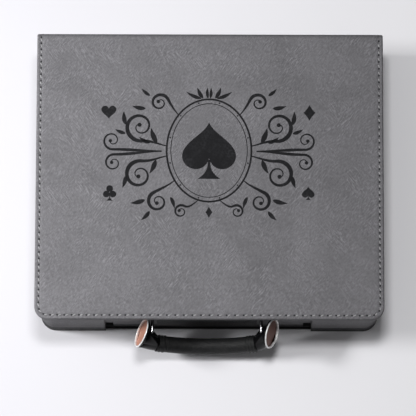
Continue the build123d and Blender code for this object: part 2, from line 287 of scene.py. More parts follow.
@dataclass(frozen=True)
class Leatherette:
    """Coated covering with a pebbled grain, patches of slanting creases and cloudy colour.

    A tone is a share of the way to another colour, which is given as a factor of the covering's
    own. A crease has a length and a breadth.
    """

    name: str
    colour: Colour
    grain: float = 1.3
    grain_depth: float = 0.08
    pore: float = 0.45
    pore_depth: float = 0.012
    crease: Pair = (5.0, 0.80)
    cross_crease: Pair = (4.5, 0.75)
    crease_depth: float = 0.17
    crease_colour: float = 1.75
    crease_tone: float = 0.85
    crease_gloss: float = 0.10
    hatch: Pair = (2.4, 0.58)
    hatch_depth: float = 0.09
    hatch_colour: float = 1.7
    hatch_tone: float = 0.60
    hollow_colour: float = 0.45
    hollow_tone: float = 0.40
    # Painted shade: the factor of the colour that the mesh's shade attribute darkens towards.
    painted_shade_colour: float = 0.30
    slant: float = 52.0
    slant_patch: float = 24.0
    crease_patch: float = 17.0
    hatch_patch: float = 13.0
    cloud_size: float = 38.0
    cloud: float = 0.18
    roughness: float = 0.62
    specular: float = 0.35

    def build(self) -> Material:
        """Makes the material.

        Two sets of creases slant opposite ways and take turns in patches. They and the finer
        hatching are light and raised, and the hollows between the pebbles are dark.

        Returns:
            The material.
        """
        graph = Graph(self.name)
        pebbles = graph.pebbles(self.grain)
        slants = {
            0: graph.ramp(graph.noise(self.slant_patch, 2.0), 0.52, 0.60),
            2: graph.streaks(*self.crease, self.slant),
            3: graph.streaks(*self.cross_crease, -self.slant),
        }
        creases = graph.add("Mix", slants, data_type="FLOAT").outputs[0]
        creased = graph.ramp(graph.noise(self.crease_patch, 2.0, 0.6), 0.42, 0.66, 0.15, 1.0)
        lines = graph.product(graph.ramp(creases, 0.46, 0.62), creased)
        strokes = graph.ramp(graph.streaks(*self.hatch, self.slant), 0.47, 0.60)
        hatched = graph.ramp(graph.noise(self.hatch_patch, 2.0, 0.6), 0.36, 0.60, 0.25, 1.0)
        hatch = graph.product(strokes, hatched)
        clouds = graph.ramp(graph.noise(self.cloud_size, 3.0, 0.55), 0.30, 0.70)
        tone = graph.shaded(clouds, self.colour, 1 - self.cloud, 1 + self.cloud)
        for share, factor in (
            (graph.product(lines, self.crease_tone), self.crease_colour),
            (graph.ramp(pebbles, 0.25, 0.75, 0.0, self.hollow_tone), self.hollow_colour),
            (graph.product(hatch, self.hatch_tone), self.hatch_colour),
            # Painted shade, read from the mesh's attribute.
            (graph.painted(PAINTED_SHADE_ATTRIBUTE), self.painted_shade_colour),
        ):
            tone = graph.mix(share, tone, scaled(self.colour, factor))
        graph.set(
            Base_Color=tone,
            Roughness=graph.ramp(lines, 0.0, 1.0, self.roughness, self.roughness - self.crease_gloss),
            Specular_IOR_Level=self.specular,
        )
        graph.relief(
            (pebbles, -self.grain_depth),
            (graph.noise(self.pore, 2.0), self.pore_depth),
            (hatch, self.hatch_depth),
            (lines, self.crease_depth),
        )
        return graph.material


@dataclass(frozen=True)
class Metal:
    """Polished or plated metal with faint smears."""

    name: str
    colour: Colour
    roughness: float
    metallic: float = 1.0
    smear: float = 3.0
    smear_roughness: float = 0.05
    ripple: float = 1.6
    ripple_depth: float = 0.004

    def build(self) -> Material:
        """Makes the material.

        Returns:
            The material, whose roughness and relief vary softly.
        """
        graph = Graph(self.name)
        smears = graph.noise(self.smear, 4.0, 0.6)
        rough = graph.ramp(smears, 0.35, 0.7, self.roughness, self.roughness + self.smear_roughness)
        graph.set(Base_Color=graph.shaded(smears, self.colour, 0.93), Metallic=self.metallic, Roughness=rough)
        graph.relief((graph.noise(self.ripple), self.ripple_depth))
        return graph.material


@dataclass(frozen=True)
class Moulding:
    """Glossy moulded plastic with a slight orange peel and dull patches."""

    name: str
    colour: Colour
    roughness: float
    specular: float
    patch: float = 5.0
    patch_roughness: float = 0.08
    peel: float = 1.2
    peel_depth: float = 0.006

    def build(self) -> Material:
        """Makes the material.

        Returns:
            The material.
        """
        graph = Graph(self.name)
        patches = graph.noise(self.patch, 3.0, 0.6)
        graph.set(
            Base_Color=graph.shaded(patches, self.colour, 0.85, 1.15),
            Roughness=graph.ramp(patches, 0.35, 0.7, self.roughness, self.roughness + self.patch_roughness),
            Specular_IOR_Level=self.specular,
        )
        graph.relief((graph.noise(self.peel, 2.0), self.peel_depth))
        return graph.material


@dataclass(frozen=True)
class Fibrous:
    """Felt, thread, board or paper: matt, with fine fibres."""

    name: str
    colour: Colour
    fibre: float
    depth: float
    contrast: float = 0.25
    sheen: float = 0.0
    blotch: float = 14.0

    def build(self) -> Material:
        """Makes the material.

        Returns:
            The material, speckled by its fibres.
        """
        graph = Graph(self.name)
        fibres = graph.noise(self.fibre, 3.0, 0.65, graph.warped(1.5, 0.4))
        blotches = graph.noise(self.blotch, 2.0)
        speckle = graph.math("ADD", graph.product(fibres, 0.7), graph.product(blotches, 0.3))
        shares = (1 - self.contrast, 1 + self.contrast)
        graph.set(
            Base_Color=graph.shaded(graph.ramp(speckle, 0.3, 0.7), self.colour, *shares),
            Roughness=0.92,
            Specular_IOR_Level=0.2,
            Sheen_Weight=self.sheen,
            Sheen_Roughness=0.5,
        )
        graph.relief((fibres, self.depth))
        return graph.material


@dataclass(frozen=True)
class Engraved:
    """Dark matt marking burnt into the leatherette, greyer where the grain shows through."""

    name: str = "engraved charcoal"
    colour: Colour = (0.013, 0.013, 0.0145)
    grain: float = 1.3
    wear: float = 9.0

    def build(self) -> Material:
        """Makes the material.

        Returns:
            The material.
        """
        graph = Graph(self.name)
        grain = graph.pebbles(self.grain)
        worn = graph.product(graph.ramp(grain, 0.25, 0.75), graph.ramp(graph.noise(self.wear), 0.35, 0.75))
        graph.set(
            Base_Color=graph.shaded(worn, self.colour, 1.0, 2.4), Roughness=0.85, Specular_IOR_Level=0.15
        )
        graph.relief((grain, -0.03))
        return graph.material


@dataclass(frozen=True)
class ChipFinish:
    """Composite chip with light blocks round its edge, turned by a different angle on each chip."""

    name: str
    colour: Colour
    block_colour: Colour
    axis_x: float
    axis_z: float
    row_start: float
    pitch: float
    blocks: float = 6.0
    block_share: float = 0.36
    block_inner: float = 14.5

    def build(self) -> Material:
        """Makes the material.

        The angle round the row's axis, plus a random turn for each chip, times the number of
        blocks gives a saw whose first part is a block.

        Returns:
            The material of one row.
        """
        graph = Graph(self.name)
        x, y, z = graph.add("SeparateXYZ", {0: graph.place}).outputs
        across = graph.math("SUBTRACT", x, self.axis_x * MM)
        up = graph.math("SUBTRACT", z, self.axis_z * MM)
        along = graph.math("SUBTRACT", y, self.row_start * MM)
        number = graph.math("FLOOR", graph.math("DIVIDE", along, self.pitch * MM))
        turn = graph.add("TexWhiteNoise", {"W": number}, noise_dimensions="1D").outputs["Value"]
        angle = graph.math("DIVIDE", graph.math("ARCTAN2", up, across), 2 * math.pi)
        saw = graph.math("FRACT", graph.product(graph.math("ADD", angle, turn), self.blocks))
        squares = graph.math("ADD", graph.math("POWER", across, 2.0), graph.math("POWER", up, 2.0))
        outer = graph.math("GREATER_THAN", graph.math("SQRT", squares), self.block_inner * MM)
        block = graph.product(graph.math("LESS_THAN", saw, self.block_share), outer)
        scuffs = graph.noise(2.2, 4.0, 0.6)
        plain = graph.shaded(scuffs, self.colour, 0.8, 1.15)
        light = graph.shaded(scuffs, self.block_colour, 0.85)
        graph.set(
            Base_Color=graph.mix(block, plain, light), Roughness=graph.ramp(scuffs, 0.3, 0.7, 0.38, 0.55)
        )
        graph.relief((graph.noise(0.8), 0.02))
        return graph.material


@dataclass(frozen=True)
class CartonFinish:
    """Printed deck carton: a plain lattice inside a white border on its large face."""

    name: str
    colour: Colour
    centre: Pair
    half_size: Pair
    print_colour: Colour = (0.72, 0.71, 0.68)
    lattice: float = 4.2
    line_share: float = 0.09
    border: float = 4.0
    frame_line: float = 0.9
    inner_gap: float = 1.6

    def build(self) -> Material:
        """Makes the material.

        Two sets of slanting lines are where the fraction of x plus or minus y, over the lattice
        size, is near one half. They show inside the border, which has a fine line inside it.

        Returns:
            The material of one carton.
        """
        graph = Graph(self.name)
        axes = graph.add("SeparateXYZ", {0: graph.place}).outputs
        x, y = (graph.math("SUBTRACT", axis, middle * MM) for axis, middle in zip(axes, self.centre))
        lines = []
        for operation in ("ADD", "SUBTRACT"):
            slanted = graph.math("DIVIDE", graph.math(operation, x, y), self.lattice * MM)
            from_half = graph.math("ABSOLUTE", graph.math("SUBTRACT", graph.math("FRACT", slanted), 0.5))
            lines.append(graph.math("LESS_THAN", from_half, self.line_share))
        edges = [
            graph.math("SUBTRACT", half * MM, graph.math("ABSOLUTE", way))
            for half, way in zip(self.half_size, (x, y))
        ]
        edge = graph.math("MINIMUM", *edges)
        inside = graph.math("GREATER_THAN", edge, (self.border + self.inner_gap) * MM)
        past_border = graph.math("GREATER_THAN", edge, self.border * MM)
        near_border = graph.math("LESS_THAN", edge, (self.border + self.frame_line) * MM)
        lattice = graph.product(graph.math("MAXIMUM", *lines), inside)
        marks = graph.math("MAXIMUM", lattice, graph.product(past_border, near_border))
        fibres = graph.noise(0.6)
        ink = graph.shaded(fibres, self.colour, 0.85, 1.1)
        graph.set(Base_Color=graph.mix(marks, ink, self.print_colour), Roughness=0.42)
        graph.relief((fibres, 0.01))
        return graph.material


@dataclass(frozen=True)
class PipFinish:
    """Polished die with dark pips, which the mesh marks by an attribute."""

    name: str = "die ivory white"
    colour: Colour = (0.80, 0.78, 0.72)
    pip_colour: Colour = (0.015, 0.015, 0.017)

    def build(self) -> Material:
        """Makes the material.

        Returns:
            The material of the dice.
        """
        graph = Graph(self.name)
        mark = graph.ramp(graph.painted(PIP_ATTRIBUTE), 0.35, 0.65)
        clouds = graph.noise(4.0)
        graph.set(
            Base_Color=graph.mix(mark, graph.shaded(clouds, self.colour, 0.94), self.pip_colour),
            Roughness=graph.ramp(clouds, 0.3, 0.7, 0.14, 0.24),
            Subsurface_Weight=0.08,
            Subsurface_Scale=0.002,
        )
        return graph.material


def made(finish: Leatherette | Metal | Moulding | Fibrous | Engraved | PipFinish) -> Material:
    """A field that holds a finish's material."""
    return field(default_factory=finish.build)


@dataclass
class Finishes:
    """Every shared material of the case, made once."""

    grey: Material = made(Leatherette("grey leatherette", (0.158, 0.155, 0.166)))
    black: Material = made(
        Leatherette(
            "black leatherette", (0.009, 0.009, 0.010), crease_tone=0.1, hatch_tone=0.1,
            roughness=0.6, specular=0.25,
        )
    )
    grip: Material = made(
        Leatherette(
            "grip leather", (0.0075, 0.0077, 0.008), grain=1.2, grain_depth=0.26, crease_tone=1.0,
            hatch_tone=1.0, roughness=0.55, specular=0.28,
        )
    )
    chrome: Material = made(Metal("bright chrome", (0.40, 0.40, 0.41), 0.22))
    steel: Material = made(Metal("plated steel", (0.50, 0.50, 0.52), 0.3))
    # Near-white and mostly diffuse: a painted reflection that keeps the chrome ring bright from every side.
    rim: Material = made(Metal("white rim, painted reflection", (0.97, 0.96, 0.96), 0.25, metallic=0.25))
    # The end faces are one bronze; the right face's copy below is darkened as painted shade.
    left_mirror: Material = made(Metal("rosy bronze", (0.64, 0.31, 0.22), 0.32, metallic=0.3))
    right_mirror_painted_shade: Material = made(Metal("rosy bronze with painted shade", (0.11, 0.034, 0.018), 0.3, metallic=0.5))
    gloss: Material = made(Moulding("gloss black", (0.003, 0.003, 0.0035), roughness=0.10, specular=0.05))
    thread: Material = made(Fibrous("grey thread", (0.41, 0.41, 0.42), 0.25, 0.03))
    # Near-black: painted shade standing in for the dark inside the needle holes.
    hole: Material = made(Fibrous("needle hole", (0.03, 0.03, 0.032), 0.3, 0.02))
    engraved: Material = made(Engraved())
    felt: Material = made(Fibrous("black felt", (0.014, 0.014, 0.015), 0.35, 0.08, sheen=0.25))
    foam: Material = made(Fibrous("felted insert", (0.017, 0.017, 0.019), 0.5, 0.09, sheen=0.3))
    board: Material = made(Fibrous("grey board", (0.42, 0.40, 0.37), 0.8, 0.03))
    # Darkened far below raw board as painted shade: the core shows only in the end slots, which lie in
    # shadow.
    fibreboard: Material = made(Fibrous("fibreboard darkened as painted shade", (0.030, 0.025, 0.022), 0.7, 0.04))
    cards: Material = made(Fibrous("card edges", (0.80, 0.80, 0.78), 0.3, 0.02, contrast=0.06))
    dice: Material = made(PipFinish())


def unit(vectors: Array) -> Array:
    """Vectors over their own lengths."""
    return vectors / np.linalg.norm(vectors, axis=-1, keepdims=True)


def spokes(angle: Array | float) -> Array:
    """Unit vectors in plan at angles from +X."""
    return np.stack((np.cos(angle), np.sin(angle)), axis=-1)


def circle(count: int) -> Array:
    """Evenly spaced points of the unit circle, counterclockwise from +X."""
    return spokes(np.linspace(0, 2 * np.pi, count, endpoint=False))


def right_of(direction: Array) -> Array:
    """Vectors in plan turned a quarter to the right."""
    return np.stack((direction[..., 1], -direction[..., 0]), axis=-1)


def raised(plan: Array, height: Array | float) -> Array:
    """Points in plan with a height given to them."""
    heights = np.broadcast_to(np.asarray(height, float), plan.shape[:-1])
    return np.concatenate((plan, heights[..., None]), axis=-1)


def bell(distance: Array, width: float) -> Array:
    """Falls off as the exponential of minus the square of distance over width."""
    return np.exp(-((distance / width) ** 2))


def smooth_step(value: Array, low: float, high: float) -> Array:
    """Rises smoothly from 0 at low to 1 at high: three times the square less twice the cube."""
    share = np.clip((value - low) / (high - low), 0, 1)
    return share * share * (3 - 2 * share)


def ripple(x: Array, y: Array, size: float, seed: int) -> Array:
    """Slow unevenness between -1 and 1.

    It is the mean of six sines, whose directions and phases come from seeded random numbers and
    whose wavelengths lie between one and two times the size.

    Args:
        x: first coordinate.
        y: second coordinate.
        size: shortest wavelength.
        seed: seed of the random numbers.

    Returns:
        The unevenness at each point.
    """
    numbers = np.random.default_rng(seed)
    waves = 6
    total = np.zeros_like(np.asarray(x, float))
    for _ in range(waves):
        turn, phase = numbers.uniform(0, 2 * np.pi, 2)
        wavelength = size * numbers.uniform(1, 2)
        total = total + np.sin((x * np.cos(turn) + y * np.sin(turn)) * 2 * np.pi / wavelength + phase)
    return total / waves


def handled_curve(points: Sequence[Array], share: Array) -> Array:
    """A curve with two handles: the sum of its four points, each times its share.

    The shares are the cube of what is left of the way, three times its square times the way,
    three times it times the way's square, and the way's cube.

    Args:
        points: the start, its handle, the end's handle and the end.
        share: the way along at each wanted point, from 0 to 1.

    Returns:
        The curve's points.
    """
    way, left = share[:, None], 1 - share[:, None]
    return np.concatenate((left**3, 3 * way * left**2, 3 * way**2 * left, way**3), axis=1) @ np.stack(points)


def grid_faces(rows: int, columns: int, wrap_rows: bool = False, wrap_columns: bool = False) -> Array:
    """Quads of a grid of points, which face the side where columns cross rows turns left.

    Args:
        rows: number of rows.
        columns: points in a row.
        wrap_rows: whether the last row joins the first.
        wrap_columns: whether each row's last point joins its first.

    Returns:
        An array of quads.
    """
    row = np.arange(rows if wrap_rows else rows - 1)[:, None]
    column = np.arange(columns if wrap_columns else columns - 1)[None, :]
    here, below = row * columns, (row + 1) % rows * columns
    after = (column + 1) % columns
    corners = (here + column, here + after, below + after, below + column)
    return np.stack(corners, axis=-1).reshape(-1, 4)


def fan_faces(ring: Array, centre: int) -> Array:
    """Triangles from a ring of point numbers to a centre point."""
    return np.stack((ring, np.roll(ring, -1), np.full_like(ring, centre)), axis=-1)


@dataclass
class Shell:
    """Points in millimetres with the faces between them."""

    points: Array
    faces: list[Array]

    def plus(self, other: "Shell") -> "Shell":
        """Both shells as one."""
        moved = [part + len(self.points) for part in other.faces]
        return Shell(np.concatenate((self.points, other.points)), self.faces + moved)

    def turned(self, axes: Array, origin: Place) -> "Shell":
        """The shell with its own axes laid along the rows of axes, and its origin moved."""
        return Shell(self.points @ np.asarray(axes, float) + np.asarray(origin, float), self.faces)

    def object(self, name: str, material: Material) -> bpy.types.Object:
        """Makes a Blender object of the shell.

        Args:
            name: the object's name.
            material: its material.

        Returns:
            The object, at the origin.
        """
        mesh = bpy.data.meshes.new(name)
        faces = [face for part in self.faces for face in part.tolist()]
        mesh.from_pydata((self.points * MM).tolist(), [], faces)
        mesh.polygons.foreach_set("use_smooth", np.full(len(mesh.polygons), True))
        mesh.materials.append(material)
        mesh.validate()
        obj = bpy.data.objects.new(name, mesh)
        bpy.context.scene.collection.objects.link(obj)
        return obj


def belt(rows: Sequence[Array]) -> Shell:
    """Equal closed rows of points joined in a ring: the last row joins the first."""
    return Shell(np.concatenate(rows), [grid_faces(len(rows), len(rows[0]), True, True)])


def capped(rings: Array, ends: Array | None = None, flip: bool = False) -> Shell:
    """Closed forms, each a stack of rings with a fan over both its ends.

    Args:
        rings: the forms, their rings, the rings' points and coordinates. Seen from the stack's
            far end, the points run counterclockwise.
        ends: the two points of each form's fans, when not the middles of its end rings.
        flip: whether the points run clockwise instead.

    Returns:
        The forms as one shell.
    """
    forms, steps, around = rings.shape[:3]
    count = steps * around
    ends = rings[:, (0, -1)].mean(axis=2) if ends is None else ends
    points = np.concatenate((rings.reshape(forms, count, 3), ends), axis=1)
    ring = np.arange(around)
    sides = grid_faces(steps, around, wrap_columns=True)
    caps = np.concatenate((fan_faces(ring, count)[:, ::-1], fan_faces(ring + count - around, count + 1)))
    shift = (np.arange(forms) * (count + 2))[:, None, None]
    faces = [(part + shift).reshape(-1, part.shape[1]) for part in (sides, caps)]
    return Shell(points.reshape(-1, 3), [part[:, ::-1] for part in faces] if flip else faces)


def strip(sections: Array) -> Shell:
    """A closed bar of equal sections with flat ends.

    Args:
        sections: the sections, their points and coordinates. Seen from the bar's far end, the
            points run clockwise.

    Returns:
        The bar.
    """
    rows, columns = sections.shape[:2]
    first = np.arange(columns)[None]
    last = first[:, ::-1] + (rows - 1) * columns
    sides = grid_faces(rows, columns, wrap_columns=True)[:, ::-1]
    return Shell(sections.reshape(-1, 3), [sides, first, last])


def tube(centres: Array, sides_a: Array, sides_b: Array, radii: Array) -> Shell:
    """A closed tube: each point is its centre plus the radius times the two side vectors' turn.

    Args:
        centres: centre of each ring.
        sides_a: first side vector of each ring.
        sides_b: second side vector; a cross b points along the tube.
        radii: radius at each ring and angle, with one column per angle.

    Returns:
        The tube, with a fan over each end.
    """
    turn = circle(radii.shape[1])
    away = turn[None, :, :1] * sides_a[:, None] + turn[None, :, 1:] * sides_b[:, None]
    return capped((centres[:, None] + radii[..., None] * away)[None])


def bar(path: Array, up: Place, radii: Array, around: int) -> Shell:
    """A closed round bar along a path, whose first side vector is up cross the path's direction.

    Args:
        path: centres of its rings.
        up: a direction that the path never takes.
        radii: radius at each ring.
        around: points of a ring.

    Returns:
        The bar.
    """
    forward = unit(np.gradient(path, axis=0))
    side = unit(np.cross(np.asarray(up, float)[None], forward))
    return tube(path, side, np.cross(forward, side), np.repeat(radii[:, None], around, axis=1))


def lathe(profile: Sequence[Pair], around: int, axes: Array, origin: Place, solid: bool = False) -> Shell:
    """A profile of radius and height turned round an axis.

    Args:
        profile: the pairs. A ring's run counterclockwise and close on themselves. A solid's run
            from the foot of the axis to its head, and none is on the axis.
        around: number of steps of the turn.
        axes: the piece's own X, Y and Z axes as rows; it turns round Z.
        origin: where its own origin lies.
        solid: whether the piece is closed over the axis.

    Returns:
        The turned piece.
    """
    rows = [raised(radius * circle(around), height) for radius, height in profile]
    form = capped(np.stack(rows)[None]) if solid else belt(rows)
    return form.turned(axes, origin)


@dataclass(frozen=True)
class Panel:
    """Plan of a panel with rounded corners."""

    width: float
    front: float
    rear: float
    front_radius: float
    rear_radius: float

    def lines(self, near: Sequence[float], spacing: float) -> tuple[Array, Array]:
        """X and Y of grid lines, fine near the edges and evenly spaced between.

        Args:
            near: distances of the fine lines from either edge.
            spacing: about how far the others are apart.

        Returns:
            The lines' places.
        """
        near = np.asarray(near, float)
        both = []
        for low, high in ((-self.width / 2, self.width / 2), (self.front, self.rear)):
            count = max(int(round((high - low - 2 * near[-1]) / spacing)), 1) + 1
            between = np.linspace(low + near[-1], high - near[-1], count)
            both.append(np.concatenate((low + near[:-1], between, (high - near[:-1])[::-1])))
        return both[0], both[1]

    def place(self, x: Array, y: Array, inset: float) -> Array:
        """Lays points of the plain rectangle into the plan drawn in by inset.

        In a corner, whose own coordinates a and b run from 0 to 1, a becomes a times the root of
        1 less half the square of b, and b likewise, which takes the square to a quarter disc.

        Args:
            x: X of the points.
            y: Y of the points.
            inset: how far the plan is drawn in.

        Returns:
            The points in the plan.
        """
        half_x = self.width / 2 - inset
        half_y = (self.rear - self.front) / 2 - inset
        middle = (self.front + self.rear) / 2
        u = x * half_x / (half_x + inset)
        v = (y - middle) * half_y / (half_y + inset)
        radius = np.maximum(np.where(v < 0, self.front_radius, self.rear_radius) - inset, 0.2)
        a = np.clip((np.abs(u) - half_x + radius) / radius, 0, 1)
        b = np.clip((np.abs(v) - half_y + radius) / radius, 0, 1)
        corner = (a > 0) & (b > 0)
        round_u = np.sign(u) * (half_x - radius + radius * a * np.sqrt(1 - b * b / 2))
        round_v = np.sign(v) * (half_y - radius + radius * b * np.sqrt(1 - a * a / 2))
        return np.stack((np.where(corner, round_u, u), np.where(corner, round_v, v) + middle), axis=-1)


def slab(
    panel: Panel, lines: tuple[Array, Array], rings: Sequence[Pair], top: HeightAt, low: float
) -> Shell:
    """A closed slab: a grid on top, rings round its edge and a level grid below.

    Args:
        panel: its plan.
        lines: X and Y of the grid's lines, over the full width and depth.
        rings: inset and height of each ring, from the top's rim round the edge to the bottom's.
        top: gives the top's height at X and Y.
        low: the bottom's height.

    Returns:
        The slab.
    """
    grid = np.meshgrid(*lines)
    rows, columns = grid[0].shape
    number = np.arange(rows * columns).reshape(rows, columns)
    rim = np.concatenate((number[0, :-1], number[:-1, -1], number[-1, :0:-1], number[:0:-1, 0]))
    edge = [axis.ravel()[rim] for axis in grid]
    (top_inset, top_height), (low_inset, low_height) = rings[0], rings[-1]
    plan = panel.place(*grid, top_inset)
    surface = raised(plan, top(plan[..., 0], plan[..., 1])).reshape(-1, 3)
    lift = surface[rim, 2] - top_height
    layers = []
    for inset, height in rings[1:-1]:
        share = (height - low_height) / (top_height - low_height)
        layers.append(raised(panel.place(*edge, inset), height + share * lift))
    under = raised(panel.place(*grid, low_inset).reshape(-1, 2), low)
    starts = rows * columns + len(rim) * np.arange(len(layers) + 1)
    loops = [rim, *(start + np.arange(len(rim)) for start in starts[:-1]), rim + starts[-1]]
    sides = [
        np.stack((above, below, np.roll(below, -1), np.roll(above, -1)), axis=-1)
        for above, below in zip(loops[:-1], loops[1:])
    ]
    cover = grid_faces(rows, columns)
    return Shell(np.concatenate((surface, *layers, under)), [cover, cover[:, ::-1] + starts[-1], *sides])


def rounded_edge(top: float, bottom: float, top_round: float, bottom_round: float, steps: int = 5) -> list:
    """Rings of inset and height for a slab's edge with two quarter rounds.

    Args:
        top: height of the top.
        bottom: height of the bottom.
        top_round: radius of the upper edge.
        bottom_round: radius of the lower edge.
        steps: steps in a quarter.

    Returns:
        The rings, from the top's rim to the bottom's.
    """
    turn = np.linspace(0, np.pi / 2, steps + 1)
    upper = [(top_round * (1 - math.sin(a)), top - top_round * (1 - math.cos(a))) for a in turn]
    lower = [(bottom_round * (1 - math.cos(a)), bottom + bottom_round * (1 - math.sin(a))) for a in turn]
    return upper + lower


def paint(obj: bpy.types.Object, name: str, values: Array) -> None:
    """Stores a value at each point of a piece, which its material reads."""
    obj.data.attributes.new(name, "FLOAT", "POINT").data.foreach_set("value", values)


def apply_modifiers(obj: bpy.types.Object) -> None:
    """Puts a piece's modifiers into its mesh.

    Args:
        obj: the piece.
    """
    graph = bpy.context.evaluated_depsgraph_get()
    finished = bpy.data.meshes.new_from_object(obj.evaluated_get(graph))
    obj.modifiers.clear()
    obj.data = finished
    finished.name = obj.name


def settle(obj: bpy.types.Object, body: Body | None, replaced: Sequence[str] = ()) -> None:
    """Tells the frame what a piece rides on and the nodes that it stands for.

    Args:
        obj: the piece.
        body: the body that it rides on, if it rides on one.
        replaced: the CAD nodes that it replaces.
    """
    if body is not None:
        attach(obj, body.value)
    if replaced:
        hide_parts(*replaced)
    log.info("%s: %d faces", obj.name, len(obj.data.polygons))


def dress(node: str, material: Material) -> None:
    """Gives a CAD node another material.

    Args:
        node: the node's name.
        material: the material.
    """
    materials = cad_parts[node].data.materials
    materials.clear()
    materials.append(material)
    log.info("%s: dressed as %s", node, material.name)


@dataclass
class Lid:
    """The lid: its covering, sewn on three sides, and the sewing."""

    finishes: Finishes
    width: float = 242.0
    depth: float = 203.0
    top: float = 57.0
    under: float = 53.0
    front_radius: float = 9.2
    rear_radius: float = 1.2
    edge_round: float = 1.2
    under_round: float = 0.5
    level_drop: float = 0.16
    fold_round: float = 1.3
    fold_drop: float = 0.6
    lining_margin: float = 8.0
    lining_depth: float = 0.8
    unevenness: float = 0.07
    pillow: float = 0.05
    stitch_inset: float = 2.9
    groove_depth: float = 0.34
    groove_half_width: float = 1.1
    first_hole: float = 2.6
    pitches: tuple = (4.25, 4.9, 5.1, 4.3, 5.2, 5.9, 5.9, 5.7, 4.0, 4.6, 4.8, 5.0)
    thread_radius: float = 0.42
    thread_length: float = 2.3
    thread_start: float = 0.55
    thread_slant: float = -0.40
    hole_radius: float = 0.62
    # Painted shade, as shares towards the darker colour: on the rim, more low down and less at the left, at
    # the fold and along the sewing.
    rim_painted_shade: float = 0.62
    low_rim_painted_shade: float = 0.33
    left_rim_painted_shade_share: float = 0.35
    sewn_painted_shade: float = 0.30
    fold_painted_shade: float = 0.68

    @property
    def corner_radius(self) -> float:
        """Radius of the sewing line's corners."""
        return self.front_radius - self.stitch_inset

    def sewing_line(self, along: Array) -> tuple[Array, Array]:
        """The line of the sewing: left side, front corner, front, other corner, right side.

        Args:
            along: distances along the line from its rear left end.

        Returns:
            Points in plan and directions of the line.
        """
        radius = self.corner_radius
        half = self.width / 2 - self.stitch_inset
        front = -self.depth / 2 + self.stitch_inset
        side = self.depth / 2 - front - radius
        corner = radius * np.pi / 2
        across = 2 * (half - radius)
        starts = np.cumsum((0.0, side, corner, across, corner))
        first_turn = np.clip((along - starts[1]) / radius, 0, np.pi / 2)
        second_turn = np.clip((along - starts[3]) / radius, 0, np.pi / 2)
        down = np.clip(along, 0, side)
        over = np.clip(along - starts[2], 0, across)
        up = np.maximum(along - starts[4], 0)
        x = -half + radius * (1 - np.cos(first_turn)) + over + radius * np.sin(second_turn)
        y = self.depth / 2 - down - radius * np.sin(first_turn) + radius * (1 - np.cos(second_turn)) + up
        return np.stack((x, y), axis=-1), spokes(first_turn + second_turn - np.pi / 2)

    def holes(self) -> Array:
        """Places of the needle holes along the sewing line, at the uneven pitch of the sewing.

        Returns:
            Distances along the line.
        """
        side = self.depth - self.stitch_inset - self.corner_radius
        front = self.width - 2 * self.stitch_inset - 2 * self.corner_radius
        length = 2 * side + np.pi * self.corner_radius + front
        fine = np.linspace(self.first_hole, length - self.first_hole, 4000)
        pitch = np.interp(fine, np.linspace(0, length, len(self.pitches)), self.pitches)
        count = np.concatenate(([0.0], np.cumsum(np.diff(fine) / pitch[1:])))
        return np.interp(np.arange(int(count[-1]) + 1), count, fine)

    def from_edge(self, x: Array, y: Array) -> Array:
        """Distance from the lid's left, front and right edges, in plan.

        Args:
            x: X of the points.
            y: Y of the points.

        Returns:
            The distance of each point.
        """
        over_x = np.abs(x) - (self.width / 2 - self.front_radius)
        over_y = self.front_radius - self.depth / 2 - y
        corner = np.hypot(np.maximum(over_x, 0), np.maximum(over_y, 0))
        return self.front_radius - np.where((over_x > 0) & (over_y > 0), corner, np.maximum(over_x, over_y))

    def painted_edge_shade(self, x: Array, y: Array, z: Array) -> Array:
        """Painted shade: how far the covering is darkened on its edges, at the fold and along the sewing.

        The edges are darkest low down, where they turn from the light, and lightest at the left, towards the
        light.

        Args:
            x: X of the points.
            y: Y of the points.
            z: their heights.

        Returns:
            The darkening from 0 to 1.
        """
        from_edge = self.from_edge(x, y)
        low = self.rim_painted_shade + self.low_rim_painted_shade * smooth_step(self.top - z, 0.8, 2.2)
        left = self.left_rim_painted_shade_share + (1 - self.left_rim_painted_shade_share) * smooth_step(x, -119.0, -90.0)
        rim = bell(np.maximum(from_edge, 0), 0.65) * low * left
        fold = self.fold_painted_shade * bell(self.depth / 2 - y, 2.0)
        sewn = self.sewn_painted_shade * bell(from_edge - self.stitch_inset, 0.75)
        return np.clip(np.maximum(rim, fold) + sewn, 0, 1)

    def height(self, x: Array, y: Array) -> Array:
        """Height of the lid's top.

        The top is level but for slow unevenness, a groove along the sewing, a low pillow inside
        it and a roll down to the fold at the rear.

        Args:
            x: X of the points.
            y: Y of the points.

        Returns:
            The height at each point.
        """
        from_edge = self.from_edge(x, y)
        from_line = from_edge - self.stitch_inset
        groove = bell(from_line, self.groove_half_width)
        pillow = bell(from_line - 4.5, 5.0) * smooth_step(from_line, 0.0, 2.0)
        roll = np.clip(1 - (self.depth / 2 - y) / self.fold_round, 0, 1)
        fold = self.fold_drop * (1 - np.sqrt(1 - roll**2))
        slow = 0.6 * ripple(x, y, 46.0, 3) + 0.4 * ripple(x, y, 17.0, 4)
        calm = smooth_step(from_edge, 0.0, 6.0)
        level = self.top - self.level_drop + self.unevenness * slow * calm + self.pillow * pillow
        return level - self.groove_depth * groove - fold

    def laid(self, plan: Array, lift: Array | float) -> Array:
        """Points in plan laid on the lid and lifted off it."""
        return raised(plan, self.height(plan[..., 0], plan[..., 1]) + lift)

